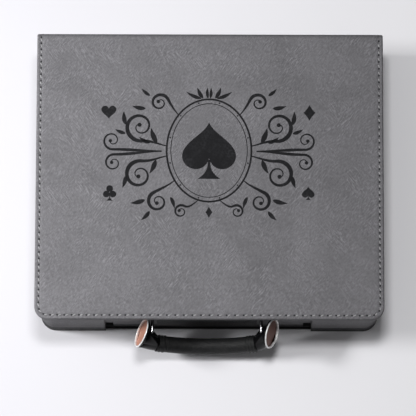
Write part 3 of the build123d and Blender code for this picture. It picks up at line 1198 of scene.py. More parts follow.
    def covering(self) -> None:
        """Makes the lid's covering, with the recess for the lining below."""
        half = self.depth / 2
        panel = Panel(self.width, -half, half, self.front_radius, self.rear_radius)
        near_sewn = (0.0, 0.35, 0.75, 1.2, 1.7, 2.15, 2.55, 2.9, 3.25, 3.65, 4.1, 4.7, 5.5, 6.6, 8.4)
        near_fold = (0.0, 0.15, 0.35, 0.6, 0.9, 1.3, 1.8, 2.4, 3.4, 4.8, 6.6, 8.4)
        lines_x, lines_y = panel.lines(near_sewn, 1.7)
        lines_y = np.concatenate((lines_y[: -len(near_sewn)], half - np.array(near_fold[::-1])))
        ceiling = self.under + self.lining_depth
        rings = rounded_edge(self.top - self.level_drop, self.under, self.edge_round, self.under_round)
        rings += [(self.lining_margin - 0.15, self.under), (self.lining_margin, ceiling)]
        shell = slab(panel, (lines_x, lines_y), rings, self.height, ceiling)
        obj = shell.object("lid_skin", self.finishes.grey)
        # Painted shade on the edges, at the fold and along the sewing.
        paint(obj, PAINTED_SHADE_ATTRIBUTE, self.painted_edge_shade(*shell.points.T))
        settle(obj, Body.LID, ["lid_cover"])

    def threads(self) -> None:
        """Makes the threads, each an arched slanting bar that leaves a hole.

        A thread's radius falls as the root of 1 less the fourth power of the way from its middle,
        and its arch as 1 less the square.
        """
        starts = self.holes()[:-1]
        numbers = np.random.default_rng(11)
        share = np.linspace(-1, 1, 9)
        half = self.thread_length / 2
        middle = starts + half + self.thread_start
        plan, direction = self.sewing_line(middle[:, None] + half * share)
        side = right_of(direction)
        slant = numbers.normal(self.thread_slant, 0.08, len(starts))
        plan = plan + side * (slant[:, None] * share)[..., None]
        thick = self.thread_radius * np.sqrt(np.clip(1 - share**4, 0.04, 1))
        thick = thick * numbers.uniform(0.85, 1.1, len(starts))[:, None]
        centres = self.laid(plan, 0.26 * (1 - share**2) - 0.16)
        away = thick[..., None, None] * circle(8)
        level = away[..., :1] * side[:, :, None]
        rings = centres[:, :, None] + np.concatenate((level, away[..., 1:] * 0.8), axis=-1)
        settle(capped(rings, flip=True).object("lid_threads", self.finishes.thread), Body.LID)

    def needle_holes(self) -> None:
        """Makes the rings of leatherette pulled in at the needle holes, near-black as painted shade of the
        holes.
        """
        plan, direction = self.sewing_line(self.holes())
        turn = circle(10)
        away = 1.25 * turn[:, :1] * direction[:, None] + turn[:, 1:] * right_of(direction)[:, None]
        levels = ((0.05, -0.20), (self.hole_radius, -0.20), (self.hole_radius, 0.02), (0.05, 0.06))
        rings = [self.laid(plan[:, None] + radius * away, lift) for radius, lift in levels]
        shell = capped(np.stack(rings, axis=1), flip=True)
        settle(shell.object("lid_needle_holes", self.finishes.hole), Body.LID)

    def build(self) -> None:
        """Makes the lid's pieces and dresses the nodes that stay."""
        self.covering()
        self.threads()
        self.needle_holes()
        dress("lid_lining", self.finishes.felt)
        dress("lid_board", self.finishes.board)
        dress("lid_magnets", self.finishes.steel)


@dataclass
class Ornament:
    """Dark card-suit ornament on the lid: a spade in an oval, scrolls, leaves and small suits."""

    lid: Lid
    finishes: Finishes
    place: Pair = (-0.5, 14.0)
    thickness: float = 0.05
    sink: float = 0.03
    eye: float = 1.3

    def plate(self, outline: Array, centre: Place) -> Shell:
        """A thin plate on the lid, filled by rings between its outline and a centre.

        Args:
            outline: points of the outline, counterclockwise.
            centre: a point from which the whole outline is seen.

        Returns:
            The plate, which follows the lid's height.
        """
        middle = np.asarray(centre, float)
        shares = np.array((1.0, 1.0, 0.985, 0.8, 0.55, 0.3, 0.08))
        lifts = np.array((-self.sink, self.thickness * 0.6, *(self.thickness,) * 5))
        plan = middle + shares[:, None, None] * (outline - middle) + self.place
        rings = self.lid.laid(plan, lifts[:, None])
        foot = raised(middle + self.place, rings[0, 0, 2])
        head = self.lid.laid(middle + self.place, self.thickness)
        return capped(rings[None], np.stack((foot, head))[None])

    def disc(self, radius: float, centre: Place, around: int) -> Shell:
        """A round plate."""
        return self.plate(circle(around) * radius + centre, centre)

    def ribbon(self, line: Array, widths: Array) -> Shell:
        """A thin stroke on the lid along a line.

        Args:
            line: points of the line.
            widths: width of the stroke at each point.

        Returns:
            The stroke, which follows the lid's height.
        """
        line = line + self.place
        side = right_of(unit(np.gradient(line, axis=0)))
        shares = np.array((1.0, 1.0, 0.8, 0.0, -0.8, -1.0, -1.0))
        edge = self.thickness * 0.6
        lifts = np.array((-self.sink, edge, *(self.thickness,) * 3, edge, -self.sink))
        plan = line[:, None] + shares[None, :, None] * (widths / 2)[:, None, None] * side[:, None]
        return strip(self.lid.laid(plan, lifts))

    @staticmethod
    def heart(size: float) -> Array:
        """Outline of a heart.

        X is the cube of the sine, and Y is a sum of four cosines whose angles are one to four
        times as large.

        Args:
            size: its height.

        Returns:
            Its outline, counterclockwise.
        """
        t = np.linspace(0, 2 * np.pi, 96, endpoint=False)[::-1]
        x = 16 * np.sin(t) ** 3
        y = 13 * np.cos(t) - 5 * np.cos(2 * t) - 2 * np.cos(3 * t) - np.cos(4 * t)
        return np.stack((x, y + 2.5), axis=-1) * size / 29

    def stem(self, size: float, centre: Place, drop: float) -> Shell:
        """The stem of a spade or club, which flares as the cube of the way down.

        Args:
            size: size of the suit.
            centre: where the suit lies.
            drop: how far below the centre the stem starts, as a share of the size.

        Returns:
            The stem.
        """
        share = np.linspace(0, 1, 24)
        line = np.stack((np.full(24, float(centre[0])), centre[1] - (drop + 0.40 * share) * size), axis=-1)
        return self.ribbon(line, size * (0.05 + 0.42 * share**3))

    def spade(self, size: float, centre: Place) -> list[Shell]:
        """A spade: a heart upside down on a stem."""
        return [self.plate(centre - self.heart(size), centre), self.stem(size, centre, 0.30)]

    def club(self, size: float, centre: Place) -> list[Shell]:
        """A club: three round leaves on a stem."""
        leaves = centre + spokes(np.radians((90, 210, 330))) * size * 0.26
        return [*(self.disc(size * 0.235, leaf, 40) for leaf in leaves), self.stem(size, centre, 0.20)]

    def diamond(self, width: float, height: float, centre: Place) -> Shell:
        """A diamond, whose hollow sides come from a power of the circle's coordinates."""
        turn = circle(64)
        return self.plate(np.sign(turn) * np.abs(turn) ** 2.3 * (width / 2, height / 2) + centre, centre)

    def oval(self, half_width: float, half_height: float, stroke: float, centre: Place) -> Shell:
        """A closed oval line.

        Args:
            half_width: half its width.
            half_height: half its height.
            stroke: width of the line.
            centre: where it lies.

        Returns:
            The oval.
        """
        edge, high, sunk = self.thickness * 0.6, self.thickness, -self.sink
        rows = []
        for share, lift in ((1, sunk), (1, edge), (0.7, high), (-0.7, high), (-1, edge), (-1, sunk)):
            reach = np.array((half_width, half_height)) + share * stroke / 2
            rows.append(self.lid.laid(reach * circle(160) + centre + self.place, lift))
        return belt(rows)

    def scroll(
        self, start: Place, heading: float, centre: Place, radius: float, turns: Pair, widest: float
    ) -> list[Shell]:
        """A scroll on both sides: a stem that runs into a spiral with a ball in its eye.

        The spiral's radius falls as the power 0.85 of what is left of its turn.

        Args:
            start: its first point, on the right side.
            heading: its first direction in degrees.
            centre: the spiral's centre.
            radius: the spiral's first radius.
            turns: the spiral's first angle and its whole turn in degrees, less than 0 for clockwise.
            widest: greatest width of the stroke.

        Returns:
            The stroke and its mirror image, each with its ball.
        """
        share = np.linspace(0, 1, 90)
        turn = spokes(np.radians(turns[0] + turns[1] * share))
        reach = self.eye + (radius - self.eye) * (1 - share) ** 0.85
        curl = centre + reach[:, None] * turn
        onward = -right_of(turn[0]) * math.copysign(1, turns[1])
        first = np.asarray(start, float)
        pull = 0.38 * np.linalg.norm(curl[0] - first)
        handles = (first, first + pull * spokes(np.radians(heading)), curl[0] - pull * onward, curl[0])
        line = np.concatenate((handled_curve(handles, np.linspace(0, 1, 36)[:-1]), curl))
        run = np.concatenate(([0.0], np.cumsum(np.linalg.norm(np.diff(line, axis=0), axis=1))))
        width = np.interp(run / run[-1], (0, 0.35, 0.7, 1), (0.7, widest, 0.55 * widest, 0.6))
        parts = []
        for mirror in (1, -1):
            drawn = line * (mirror, 1)
            parts += [self.ribbon(drawn, width), self.disc(0.55 + 0.3 * widest, drawn[-1], 28)]
        return parts

    def leaf(self, base: Place, heading: float, length: float, width: float) -> list[Shell]:
        """A pointed, slightly bent leaf on both sides, as wide as the sine of the way along it.

        Args:
            base: where it springs from, on the right side.
            heading: its direction in degrees.
            length: its length.
            width: its greatest width.

        Returns:
            The leaf and its mirror image.
        """
        share = np.linspace(0, 1, 26)
        steps = spokes(np.radians(heading + 26 * (share - 0.5))) * length / len(share)
        line = base + np.cumsum(steps, axis=0)
        widths = 0.15 + width * np.sin(np.pi * share**0.75)
        return [self.ribbon(line * (mirror, 1), widths) for mirror in (1, -1)]

    def build(self) -> None:
        """Makes the ornament as one thin piece on the lid."""
        middle = np.array((0.0, 4.0))
        parts = self.spade(34.0, (0, 7.5))
        parts += [self.oval(29.5, 36.5, 1.3, middle), self.oval(26.6, 33.4, 0.55, middle)]
        for turn in spokes(np.radians(np.arange(15, 375, 30))):
            parts.append(self.disc(0.55, turn * (28.05, 34.95) + middle, 20))
        for scroll in (
            ((29.2, 7.0), 12, (48.0, 21.0), 10.5, (-95, 520), 3.0),
            ((29.2, 0.0), -12, (48.5, -13.5), 10.0, (95, -520), 3.0),
            ((33.0, 3.5), 0, (67.5, 11.0), 6.4, (-90, 440), 2.2),
            ((33.0, 3.2), 0, (66.5, -5.0), 6.0, (90, -440), 2.2),
            ((24.0, -17.5), -40, (35.5, -32.5), 7.0, (60, -480), 2.6),
            ((21.5, 29.5), 48, (34.5, 38.0), 6.2, (150, -470), 2.4),
            ((8.0, -32.0), -35, (19.5, -39.5), 4.6, (120, -450), 1.8),
        ):
            parts += self.scroll(*scroll)
        for leaf in (
            ((36, 9), 68, 12, 3.4), ((41, 9), 30, 9, 2.4), ((37, -2.5), -66, 11, 3.2),
            ((58, 22), 82, 10, 3.0), ((58, 16), 22, 8, 2.4), ((58, -14), -76, 9, 2.8),
            ((44, 34), 10, 10, 2.8), ((41, 43), 40, 8, 2.2), ((44, -31), -14, 11, 3.0),
            ((41, -39), -48, 9, 2.6), ((27, -29), -110, 9, 2.4), ((4, 41), 62, 9, 2.6),
            ((5, 41), 24, 12, 2.4), ((0.6, 41), 86, 8, 2.0),
        ):
            parts += self.leaf(*leaf)
        heart_centre = np.array((-70, 31))
        parts.append(self.plate(self.heart(9.5) + heart_centre, heart_centre))
        parts.append(self.diamond(8.5, 11.5, (70, 31)))
        parts += self.club(10.0, (-69, -26))
        parts += self.spade(8.0, (69, -25.5))
        parts.append(self.diamond(5.0, 8.5, (0, -40)))
        settle(reduce(Shell.plus, parts).object("lid_ornament", self.finishes.engraved), Body.LID)


@dataclass
class WallOutline:
    """Outline of the walls in plan, counterclockwise, with the recess in the middle of the front."""

    half_width: float = 118.4
    front: float = -99.5
    rear: float = 98.9
    front_radius: float = 11.0
    rear_radius: float = 1.0
    recess_middle: float = -0.8
    recess_half_width: float = 72.1
    recess_depth: float = 2.5
    corner_round: float = 0.8
    inner_round: float = 0.12
    slot_inner: float = 66.6
    slot_outer: float = 72.0
    step: float = 2.4

    @staticmethod
    def arc(centre: Place, radius: float, start: float, end: float, count: int) -> Array:
        """Points and outward normals on an arc, which is hollow where it turns clockwise.

        Args:
            centre: its centre.
            radius: its radius.
            start: its first angle in degrees.
            end: its last angle in degrees.
            count: number of points.

        Returns:
            Rows of X, Y and the normal's X and Y.
        """
        spoke = spokes(np.radians(np.linspace(start, end, count)))
        return np.concatenate((centre + radius * spoke, np.sign(end - start) * spoke), axis=1)

    def line(self, start: Place, end: Place, marks: Sequence[float] = ()) -> Array:
        """Points and outward normals inside a straight run, whose outside is on its right.

        Args:
            start: where it starts, left out of the points.
            end: where it ends, left out of the points.
            marks: extra places along it, as X.

        Returns:
            Rows of X, Y and the normal's X and Y.
        """
        start, end = np.asarray(start, float), np.asarray(end, float)
        length = np.linalg.norm(end - start)
        share = np.linspace(0, 1, max(int(length / self.step), 2) + 1)[1:-1]
        if len(marks):
            marked = (np.asarray(marks, float) - start[0]) / (end[0] - start[0])
            free = np.abs(share[:, None] - marked[None, :]).min(axis=1) > 0.3 / length
            share = np.sort(np.concatenate((share[free], marked)))
        normal = np.tile(right_of((end - start) / length), (len(share), 1))
        return np.concatenate((start + share[:, None] * (end - start), normal), axis=1)

    def loop(self) -> Array:
        """The whole outline.

        Returns:
            Rows of X, Y and the outward normal's X and Y.
        """
        w, f, r = self.half_width, self.front, self.rear
        fr, rr, c, i = self.front_radius, self.rear_radius, self.corner_round, self.inner_round
        face = self.front + self.recess_depth
        left, right = self.recess_middle - self.recess_half_width, self.recess_middle + self.recess_half_width
        near_slot = self.slot_inner + np.array((-0.15, -0.05, 0.05, 0.2, 0.4, 4.8, 5.0, 5.15, 5.22))
        marks = np.sort(self.recess_middle + np.concatenate((-near_slot, near_slot)))
        parts = (
            self.arc((-w + rr, r - rr), rr, 90, 180, 5),
            self.line((-w, r - rr), (-w, f + fr)),
            self.arc((-w + fr, f + fr), fr, 180, 270, 17),
            self.line((-w + fr, f), (left - c, f)),
            self.arc((left - c, f + c), c, 270, 360, 6),
            self.arc((left + i, face - i), i, 180, 90, 4),
            self.line((left + i, face), (right - i, face), marks),
            self.arc((right - i, face - i), i, 90, 0, 4),
            self.arc((right + c, f + c), c, 180, 270, 6),
            self.line((right + c, f), (w - fr, f)),
            self.arc((w - fr, f + fr), fr, 270, 360, 17),
            self.line((w, f + fr), (w, r - rr)),
            self.arc((w - rr, r - rr), rr, 0, 90, 5),
            self.line((w - rr, r), (-w + rr, r)),
        )
        return np.concatenate(parts)

    def in_slot(self, loop: Array) -> Array:
        """How far each point of the outline is in an end slot of the recess.

        Args:
            loop: the outline.

        Returns:
            A share from 0 to 1.
        """
        off = np.abs(loop[:, 0] - self.recess_middle)
        low = smooth_step(off, self.slot_inner - 0.1, self.slot_inner + 0.15)
        high = 1 - smooth_step(off, self.slot_outer - 0.25, self.slot_outer - 0.05)
        on_face = (np.abs(loop[:, 1] - self.front - self.recess_depth) < 0.01) & (loop[:, 3] < -0.9)
        return low * high * on_face


@dataclass
class Walls:
    """The walls' covering, the band along their foot, the spine and the strip in the fold."""

    finishes: Finishes
    outline: WallOutline = field(default_factory=WallOutline)
    top: float = 52.8
    band_top: float = 12.0
    base_top: float = 3.0
    skin: float = 0.8
    edge_round: float = 0.6
    cavity: Panel = Panel(224.8, -93.5, 92.9, 5.0, 5.0)
    turn_in: float = 32.0
    turn_in_thickness: float = 0.3
    slot_bottom: float = 4.5
    slot_top: float = 18.5
    slot_depth: float = 2.95
    unevenness: float = 0.09
    # Painted shade on the wall covering: a share everywhere, more under the lid's overhang and more towards
    # the foot.
    wall_painted_shade: float = 0.40
    under_lid_painted_shadow: float = 0.50
    foot_painted_shade: float = 0.38
    spine_width: float = 242.0
    spine_rear: float = 101.48
    spine_front: float = 98.95
    spine_creases: Pair = (49.8, 3.6)
    spine_crease_depth: float = 0.16
    spine_unevenness: float = 0.05
    strip_half_width: float = 111.5
    strip_rear: float = 101.36
    strip_bulge: float = 0.06
    strip_fronts: Pair = (94.5, 95.0)
    strip_heights: Pair = (52.825, 52.975)
    strip_half_thickness: float = 0.022

    def __post_init__(self) -> None:
        """Works out the outline's points and which of them are in the slots."""
        self.loop = self.outline.loop()
        self.slot = self.outline.in_slot(self.loop)

    def inner_row(self, inset: float, height: float) -> Array:
        """A row of points on the cavity's wall, each the nearest to a point of the outline.

        Each point is held to the rectangle of the cavity's corner centres, and the radius is
        added towards the outline.

        Args:
            inset: how far into the cavity.
            height: its height.

        Returns:
            The row's points.
        """
        radius = self.cavity.front_radius
        half = self.cavity.width / 2 - radius
        low, high = self.cavity.front + radius, self.cavity.rear - radius
        core = np.stack((np.clip(self.loop[:, 0], -half, half), np.clip(self.loop[:, 1], low, high)), axis=-1)
        return raised(core + (radius - inset) * unit(self.loop[:, :2] - core), height)

    def outer_row(self, inset: float, height: float, slotted: bool = True) -> Array:
        """A row of points on the walls' outside.

        Args:
            inset: how far inside the outline.
            height: its height.
            slotted: whether the slots are cut at this row.

        Returns:
            The row's points.
        """
        low = smooth_step(np.array(height), self.slot_bottom - 0.05, self.slot_bottom + 0.2)
        high = 1 - smooth_step(np.array(height), self.slot_top - 0.2, self.slot_top + 0.05)
        run = np.cumsum(np.hypot(*np.diff(self.loop[:, :2], axis=0, prepend=self.loop[:1, :2]).T))
        wave = self.unevenness * (0.5 + 0.5 * ripple(run, np.full_like(run, height), 34.0, 8))
        wave = wave * (np.abs(self.loop[:, 3]) + np.abs(self.loop[:, 2]) > 0.999)
        depth = inset + wave * (inset < self.skin) + self.slot_depth * self.slot * slotted * low * high
        return raised(self.loop[:, :2] - depth[:, None] * self.loop[:, 2:], height)

    def covering(self) -> None:
        """Makes the grey covering, with painted shade: up the outside, over the top and down into the case.
        """
        foot, top, low, turn_in = self.band_top, self.top, self.turn_in, self.turn_in_thickness
        near_slot = (foot + 0.25, foot + 0.9, 14.0, 16.0, 17.6, 18.1, 18.35, 18.5, 18.65, 19.2)
        rows = [self.outer_row(0.3, foot), self.outer_row(0.07, foot + 0.06)]
        rows += [self.outer_row(0.0, height) for height in (*near_slot, *np.linspace(21, 50.6, 15))]
        for turn in np.radians((0, 22, 45, 67, 90)):
            height = top - self.edge_round * (1 - math.sin(turn))
            rows.append(self.outer_row(self.edge_round * (1 - math.cos(turn)), height, False))
        edge, inner = rows[-1], self.inner_row(-turn_in, top)
        rows += [raised((edge + share * (inner - edge))[:, :2], top) for share in (0.25, 0.5, 0.75)]
        inside = ((-turn_in, top), (0.05, top - 0.1), (0.25, top - 0.4), (turn_in, top - 0.9))
        inside += ((turn_in, 46.0), (turn_in, 40.0), (turn_in, low), (-0.2, low), (-0.2, 51.0))
        rows += [self.inner_row(inset, height) for inset, height in inside]
        rows.append(self.outer_row(self.skin, 51.0, False))
        rows += [self.outer_row(self.skin, height) for height in (18.75, 18.25, foot)]
        shell = belt(rows)
        height = shell.points[:, 2]
        # Painted shade: darker overall, under the lid and towards the foot, where shade falls.
        under_lid, at_foot = smooth_step(height, 46.0, 51.0), smooth_step(-height, -36.0, -13.0)
        shade = self.wall_painted_shade + self.under_lid_painted_shadow * under_lid + self.foot_painted_shade * at_foot
        obj = shell.object("wall_skin", self.finishes.grey)
        paint(obj, PAINTED_SHADE_ATTRIBUTE, shade)
        settle(obj, Body.CASE, ["wall_cover"])

    def band(self) -> None:
        """Makes the black band along the foot of the walls."""
        low, high = self.base_top, self.band_top
        rows = ((0.4, low), (0.12, low + 0.03), (0.03, low + 0.15))
        rows += tuple((0.02, height) for height in (4.0, 4.5, 4.62, 4.8, 6.5, 9.0, 11.0))
        rows += ((0.03, high - 0.18), (0.12, high - 0.04), (0.4, high))
        rows += tuple((self.skin, height) for height in (high, 4.75, 4.45, low))
        shell = belt([self.outer_row(inset, height) for inset, height in rows])
        settle(shell.object("foot_skin", self.finishes.black), Body.CASE, ["foot_band"])

    def spine(self) -> None:
        """Makes the spine's covering, a panel that stands behind the rear wall."""
        panel = Panel(self.spine_width, 0.0, self.top, 0.6, 0.6)
        thickness = self.spine_rear - self.spine_front

        def outside(x: Array, y: Array) -> Array:
            """The outside: level but for ripples and a crease along both long edges.

            Args:
                x: places across.
                y: places up the spine.

            Returns:
                The height over the wall.
            """
            press = self.spine_crease_depth * sum(bell(y - crease, 0.9) for crease in self.spine_creases)
            wave = self.spine_unevenness * (1 + ripple(x, y, 30.0, 21))
            return thickness - press - wave * smooth_step(y, 0.0, 5.0)

        lines = panel.lines((0.0, 0.2, 0.5, 1.0, 2.0, 4.0, 7.0), 3.0)
        shell = slab(panel, lines, rounded_edge(thickness, 0.0, 0.7, 0.2), outside, 0.0)
        shell = shell.turned(((-1, 0, 0), (0, 0, 1), (0, 1, 0)), (0, self.spine_front, 0))
        obj = shell.object("spine_skin", self.finishes.grey)
        settle(obj, Body.CASE, ["spine_cover", "spine_board"])

    def fold(self) -> None:
        """Makes the strip inside the fold, which lies double between the spine and the shut lid.

        Its middle line runs back along the lower layer, round a half circle and forward along
        the upper one, and its two faces lie half its thickness to either side.
        """
        low, high = self.strip_heights
        front, upper_front = self.strip_fronts
        turn = np.radians((45, 90, 135))
        rear = self.strip_rear + self.strip_bulge * np.sin(turn)
        bend = np.stack((rear, (low + high) / 2 - (high - low) / 2 * np.cos(turn)), axis=-1)
        lower = np.linspace((front, low), (self.strip_rear, low), 9)
        upper = np.linspace((self.strip_rear, high), (upper_front, high), 9)
        middle = np.concatenate((lower, bend, upper))
        side = right_of(unit(np.gradient(middle, axis=0))) * self.strip_half_thickness
        section = np.concatenate((middle - side, (middle + side)[::-1]))
        across = np.linspace(-self.strip_half_width, self.strip_half_width, 60)
        sections = [np.insert(section, 0, x, axis=1) for x in across]
        obj = strip(np.stack(sections)).object("fold_strip", self.finishes.grey)
        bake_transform(obj)
        settle(obj, None)

    def build(self) -> None:
        """Makes the walls' pieces and dresses the nodes that stay."""
        self.covering()
        self.band()
        self.spine()
        self.fold()
        dress("base_cover", self.finishes.black)
        dress("base_board", self.finishes.board)
        # Painted shade: the core's dark colour stands for the shadow in the end slots.
        dress("wall_core", self.finishes.fibreboard)
        dress("wall_magnets", self.finishes.steel)


@dataclass
class Handle:
    """The handle: plate and posts on the case, and the grip with its necks and end discs."""

    finishes: Finishes
    middle_x: float = -1.75
    pivot_y: float = -107.92
    pivot_z: float = 38.0
    hang: float = 12.0
    reach: float = 24.7
    bow: float = 6.2
    half_length: float = 35.0
    grip_radius: float = 5.7
    grip_wrinkle: float = 0.30
    collar_radius: float = 6.2
    collar_length: float = 7.0
    collar_wrinkle: float = 0.80
    seam_height: float = 0.16
    disc_spacing: float = 44.7
    disc_radius: float = 10.55
    disc_rise: float = 21.2
    disc_turn: float = 16.6
    rim_front: float = 1.1
    rim_back: float = -0.8
    rim_width: float = 1.15
    lip: float = 0.35
    face_front: float = -0.35
    neck_voxel: float = 0.26
    post_radius: float = 1.1
    post_leg: float = 37.8
    post_bend: float = 2.4
    post_tip: float = 42.5
    post_root_y: float = -93.5
    recess_y: float = -97.0
    plate: Panel = Panel(70.0, -18.0, 18.0, 2.0, 2.0)
    plate_middle_z: float = 32.0
    plate_thickness: float = 0.8

    def __post_init__(self) -> None:
        """Works out the bow's circle and the handle's own directions.

        The bow's radius comes from its half length and its rise. Upward runs from the hanging
        grip to the pivot axis, and across is square to the handle's plane, away from the case.
        """
        self.bow_radius = (self.half_length**2 + self.bow**2) / (2 * self.bow)
        self.bow_half_angle = math.asin(self.half_length / self.bow_radius)
        self.origin = np.array((self.middle_x, self.pivot_y, self.pivot_z))
        hang = math.radians(self.hang)
        self.upward = np.array((0.0, math.sin(hang), math.cos(hang)))
        self.across = np.array((0.0, -math.cos(hang), math.sin(hang)))

    def bow_rings(self, angle: Array) -> tuple[Array, Array, Array]:
        """Centres and side vectors of the grip's rings.

        A centre is on the bow's circle, at an angle from its lowest point, and the first side
        vector points away from the circle's centre.

        Args:
            angle: angle of each ring.

        Returns:
            Centres, first side vectors and second side vectors.
        """
        outward = np.sin(angle)[:, None] * np.array((1.0, 0.0, 0.0)) - np.cos(angle)[:, None] * self.upward
        centres = self.origin + self.bow_radius * outward + (self.bow_radius - self.reach) * self.upward
        return centres, outward, np.tile(-self.across, (len(angle), 1))

    def leather_bar(
        self, start: float, end: float, radius: float, end_round: float, wrinkle: float, seed: int
    ) -> Shell:
        """A length of the leather bar along the bow.

        Its radius falls in a quarter round at both ends, and has slow unevenness, wrinkles
        round the bar near its ends and a low seam on the side away from view.

        Args:
            start: angle of its first end.
            end: angle of its other end.
            radius: its radius.
            end_round: radius of its ends' edges.
            wrinkle: height of the wrinkles.
            seed: seed of the unevenness.

        Returns:
            The bar.
        """
        length = (end - start) * self.bow_radius
        rounding = end_round * (1 - np.cos(np.linspace(0, np.pi / 2, 7)))
        inner = np.linspace(rounding[-1], length - rounding[-1], max(int(length / 0.55), 8))
        along = np.concatenate((rounding[:-1], inner, length - rounding[-2::-1]))
        from_end = np.minimum(along, length - along)
        quarter = np.sqrt(np.clip(1 - ((end_round - from_end) / end_round) ** 2, 0, 1))
        shrink = np.where(from_end < end_round, end_round * (1 - quarter), 0.0)[:, None]
        run, swing = np.meshgrid(along, np.linspace(0, 2 * np.pi, 56, endpoint=False), indexing="ij")
        folds = np.sin(run * 2.6 + 1.5 * np.sin(swing + seed) + 2.2 * ripple(run, swing * radius, 7.0, seed))
        near_end = np.exp(-from_end / 5.0)[:, None]
        slow = ripple(run, swing * radius, 12.0, seed + 1)
        seam = self.seam_height * bell(swing - 0.35 * np.pi, 0.13) * (shrink < 0.01)
        radii = radius - shrink - wrinkle * (0.5 + 0.5 * folds) * near_end - 0.07 * (0.5 + 0.5 * slow) + seam
        return tube(*self.bow_rings(start + along / self.bow_radius), radii)

    def grip(self) -> None:
        """Makes the leather grip and the turned-over leather at its ends."""
        half, collar = self.bow_half_angle, self.collar_length / self.bow_radius
        shell = self.leather_bar(-half, half, self.grip_radius, 0.8, self.grip_wrinkle, 5)
        settle(shell.object("grip_leather", self.finishes.grip), Body.HANDLE, ["grip_wrap"])
        left, right = (
            self.leather_bar(start, end, self.collar_radius, 0.55, self.collar_wrinkle, seed)
            for start, end, seed in ((-half - 0.002, -half + collar, 6), (half - collar, half + 0.002, 9))
        )
        collars = left.plus(right).object("grip_ends", self.finishes.grip)
        settle(collars, Body.HANDLE, ["grip_collars"])

    def disc_frame(self, side: Side) -> tuple[Array, Array]:
        """Axes and centre of an end disc, whose Z looks outwards and up.

        Args:
            side: which end.

        Returns:
            The X, Y and Z axes as rows, and the centre on the pivot axis.
        """
        rise, turn = math.radians(self.disc_rise), math.radians(self.disc_turn)
        level = side.value * math.cos(rise)
        normal = np.array((level * math.cos(turn), -level * math.sin(turn), math.sin(rise)))
        first = unit(np.cross((0.0, 0.0, 1.0), normal))
        centre = self.origin + (side.value * self.disc_spacing, 0, 0)
        return np.stack((first, np.cross(normal, first), normal)), centre

    def end_disc(self, side: Side) -> None:
        """Makes the ring, near-white as a painted reflection, and the satin face of one end, sunk into the
        neck's black cup.

        The ring's crown is half an ellipse and the face a low dome.

        Args:
            side: which end.
        """
        outer, inner, back = self.disc_radius, self.disc_radius - self.rim_width, self.rim_back
        middle, half = (outer + inner) / 2, self.rim_width / 2
        profile = [(inner, back + 0.02), (outer - 0.55, back), (outer - 0.5, self.lip), (outer, self.lip)]
        for turn_x, turn_y in spokes(np.linspace(0, np.pi, 13)):
            profile.append((middle + half * turn_x, self.rim_front - 0.4 + 0.4 * turn_y))
        ring = lathe(profile, 96, *self.disc_frame(side))
        word = side.word
        settle(ring.object(f"rim_{word}", self.finishes.rim), Body.HANDLE, [f"end_rim_{word}"])
        radius = inner - 0.03
        profile = [(radius * 0.5, back), (radius, back)]
        for turn_x, turn_y in spokes(np.linspace(0, 1.45, 12)):
            profile.append((radius * turn_x, self.face_front - 0.2 + 0.22 * turn_y))
        face = lathe(profile, 80, *self.disc_frame(side), solid=True)
        # The right face takes the bronze darkened as painted shade.
        mirror = self.finishes.left_mirror if side is Side.LEFT else self.finishes.right_mirror_painted_shade
        settle(face.object(f"mirror_{word}", mirror), Body.HANDLE, [f"end_disc_{word}"])

    def neck_parts(self, side: Side) -> Shell:
        """The cup, two overlapping arms and the boss that the neck is blended from.

        An arm runs along a curve with two handles, from the grip's end to behind the disc.

        Args:
            side: which end.

        Returns:
            The four closed forms.
        """
        axes, centre = self.disc_frame(side)
        normal = axes[2]
        cup = self.disc_radius - self.rim_width
        profile = ((3.0, -2.8), (5.0, -2.75), (6.4, -2.5), (7.9, -1.9), (9.3, -1.3), (10.2, -0.7))
        profile += ((10.4, -0.3), (10.4, self.lip), (cup + 0.15, self.lip), (cup + 0.1, -0.75), (3.0, -0.75))
        shell = lathe(profile, 64, axes, centre, solid=True)
        tips, outward, _ = self.bow_rings(np.array((side.value * self.bow_half_angle,)))
        along_bar = np.cross(self.across, outward[0])
        along_bar = along_bar * np.sign(along_bar[0] * side.value)
        along_disc = unit(normal * normal.dot(self.upward) - self.upward)
        share = np.linspace(0, 1, 22)
        arms = ((2.3, 6.5, -0.3, 7.9, 5.2), (1.5, 1.9, 0.5, 6.6, 4.8))
        for inset, drop, lift, root_radius, tip_radius in arms:
            root = centre - inset * normal + drop * along_disc
            end = tips[0] - 0.15 * along_bar + lift * self.upward
            path = handled_curve((end, end + 3.0 * along_bar, root - 3.0 * normal, root), share)
            radii = (tip_radius - 0.3, tip_radius, root_radius, root_radius - 0.4)
            shell = shell.plus(bar(path, self.across, np.interp(share, (0, 0.04, 0.96, 1), radii), 40))
        inner, outer = sorted((side.value * 39.9, side.value * 41.9))
        profile = ((3.0, inner), (3.35, inner + 0.35), (3.35, outer - 0.35), (3.0, outer))
        boss = lathe(profile, 32, ((0, 1, 0), (0, 0, 1), (1, 0, 0)), self.origin, solid=True)
        return shell.plus(boss)

    @staticmethod
    def drop_crumbs(mesh: bpy.types.Mesh) -> None:
        """Deletes the crumbs that remeshing leaves: every connected part but the largest.

        Each point takes the lowest number among its neighbours, over and over, until all points
        of a part share one number.

        Args:
            mesh: the remeshed form.
        """
        ends = np.empty(2 * len(mesh.edges), np.int64)
        mesh.edges.foreach_get("vertices", ends)
        first, second = ends.reshape(-1, 2).T
        part = np.arange(len(mesh.vertices))
        while np.any(part[first] != part[second]):
            low = np.minimum(part[first], part[second])
            np.minimum.at(part, first, low)
            np.minimum.at(part, second, low)
            part = part[part]
        crumbs = np.flatnonzero(part != np.bincount(part).argmax()).tolist()
        form = bmesh.new()
        form.from_mesh(mesh)
        form.verts.ensure_lookup_table()
        bmesh.ops.delete(form, geom=[form.verts[number] for number in crumbs], context="VERTS")
        form.to_mesh(mesh)
        form.free()

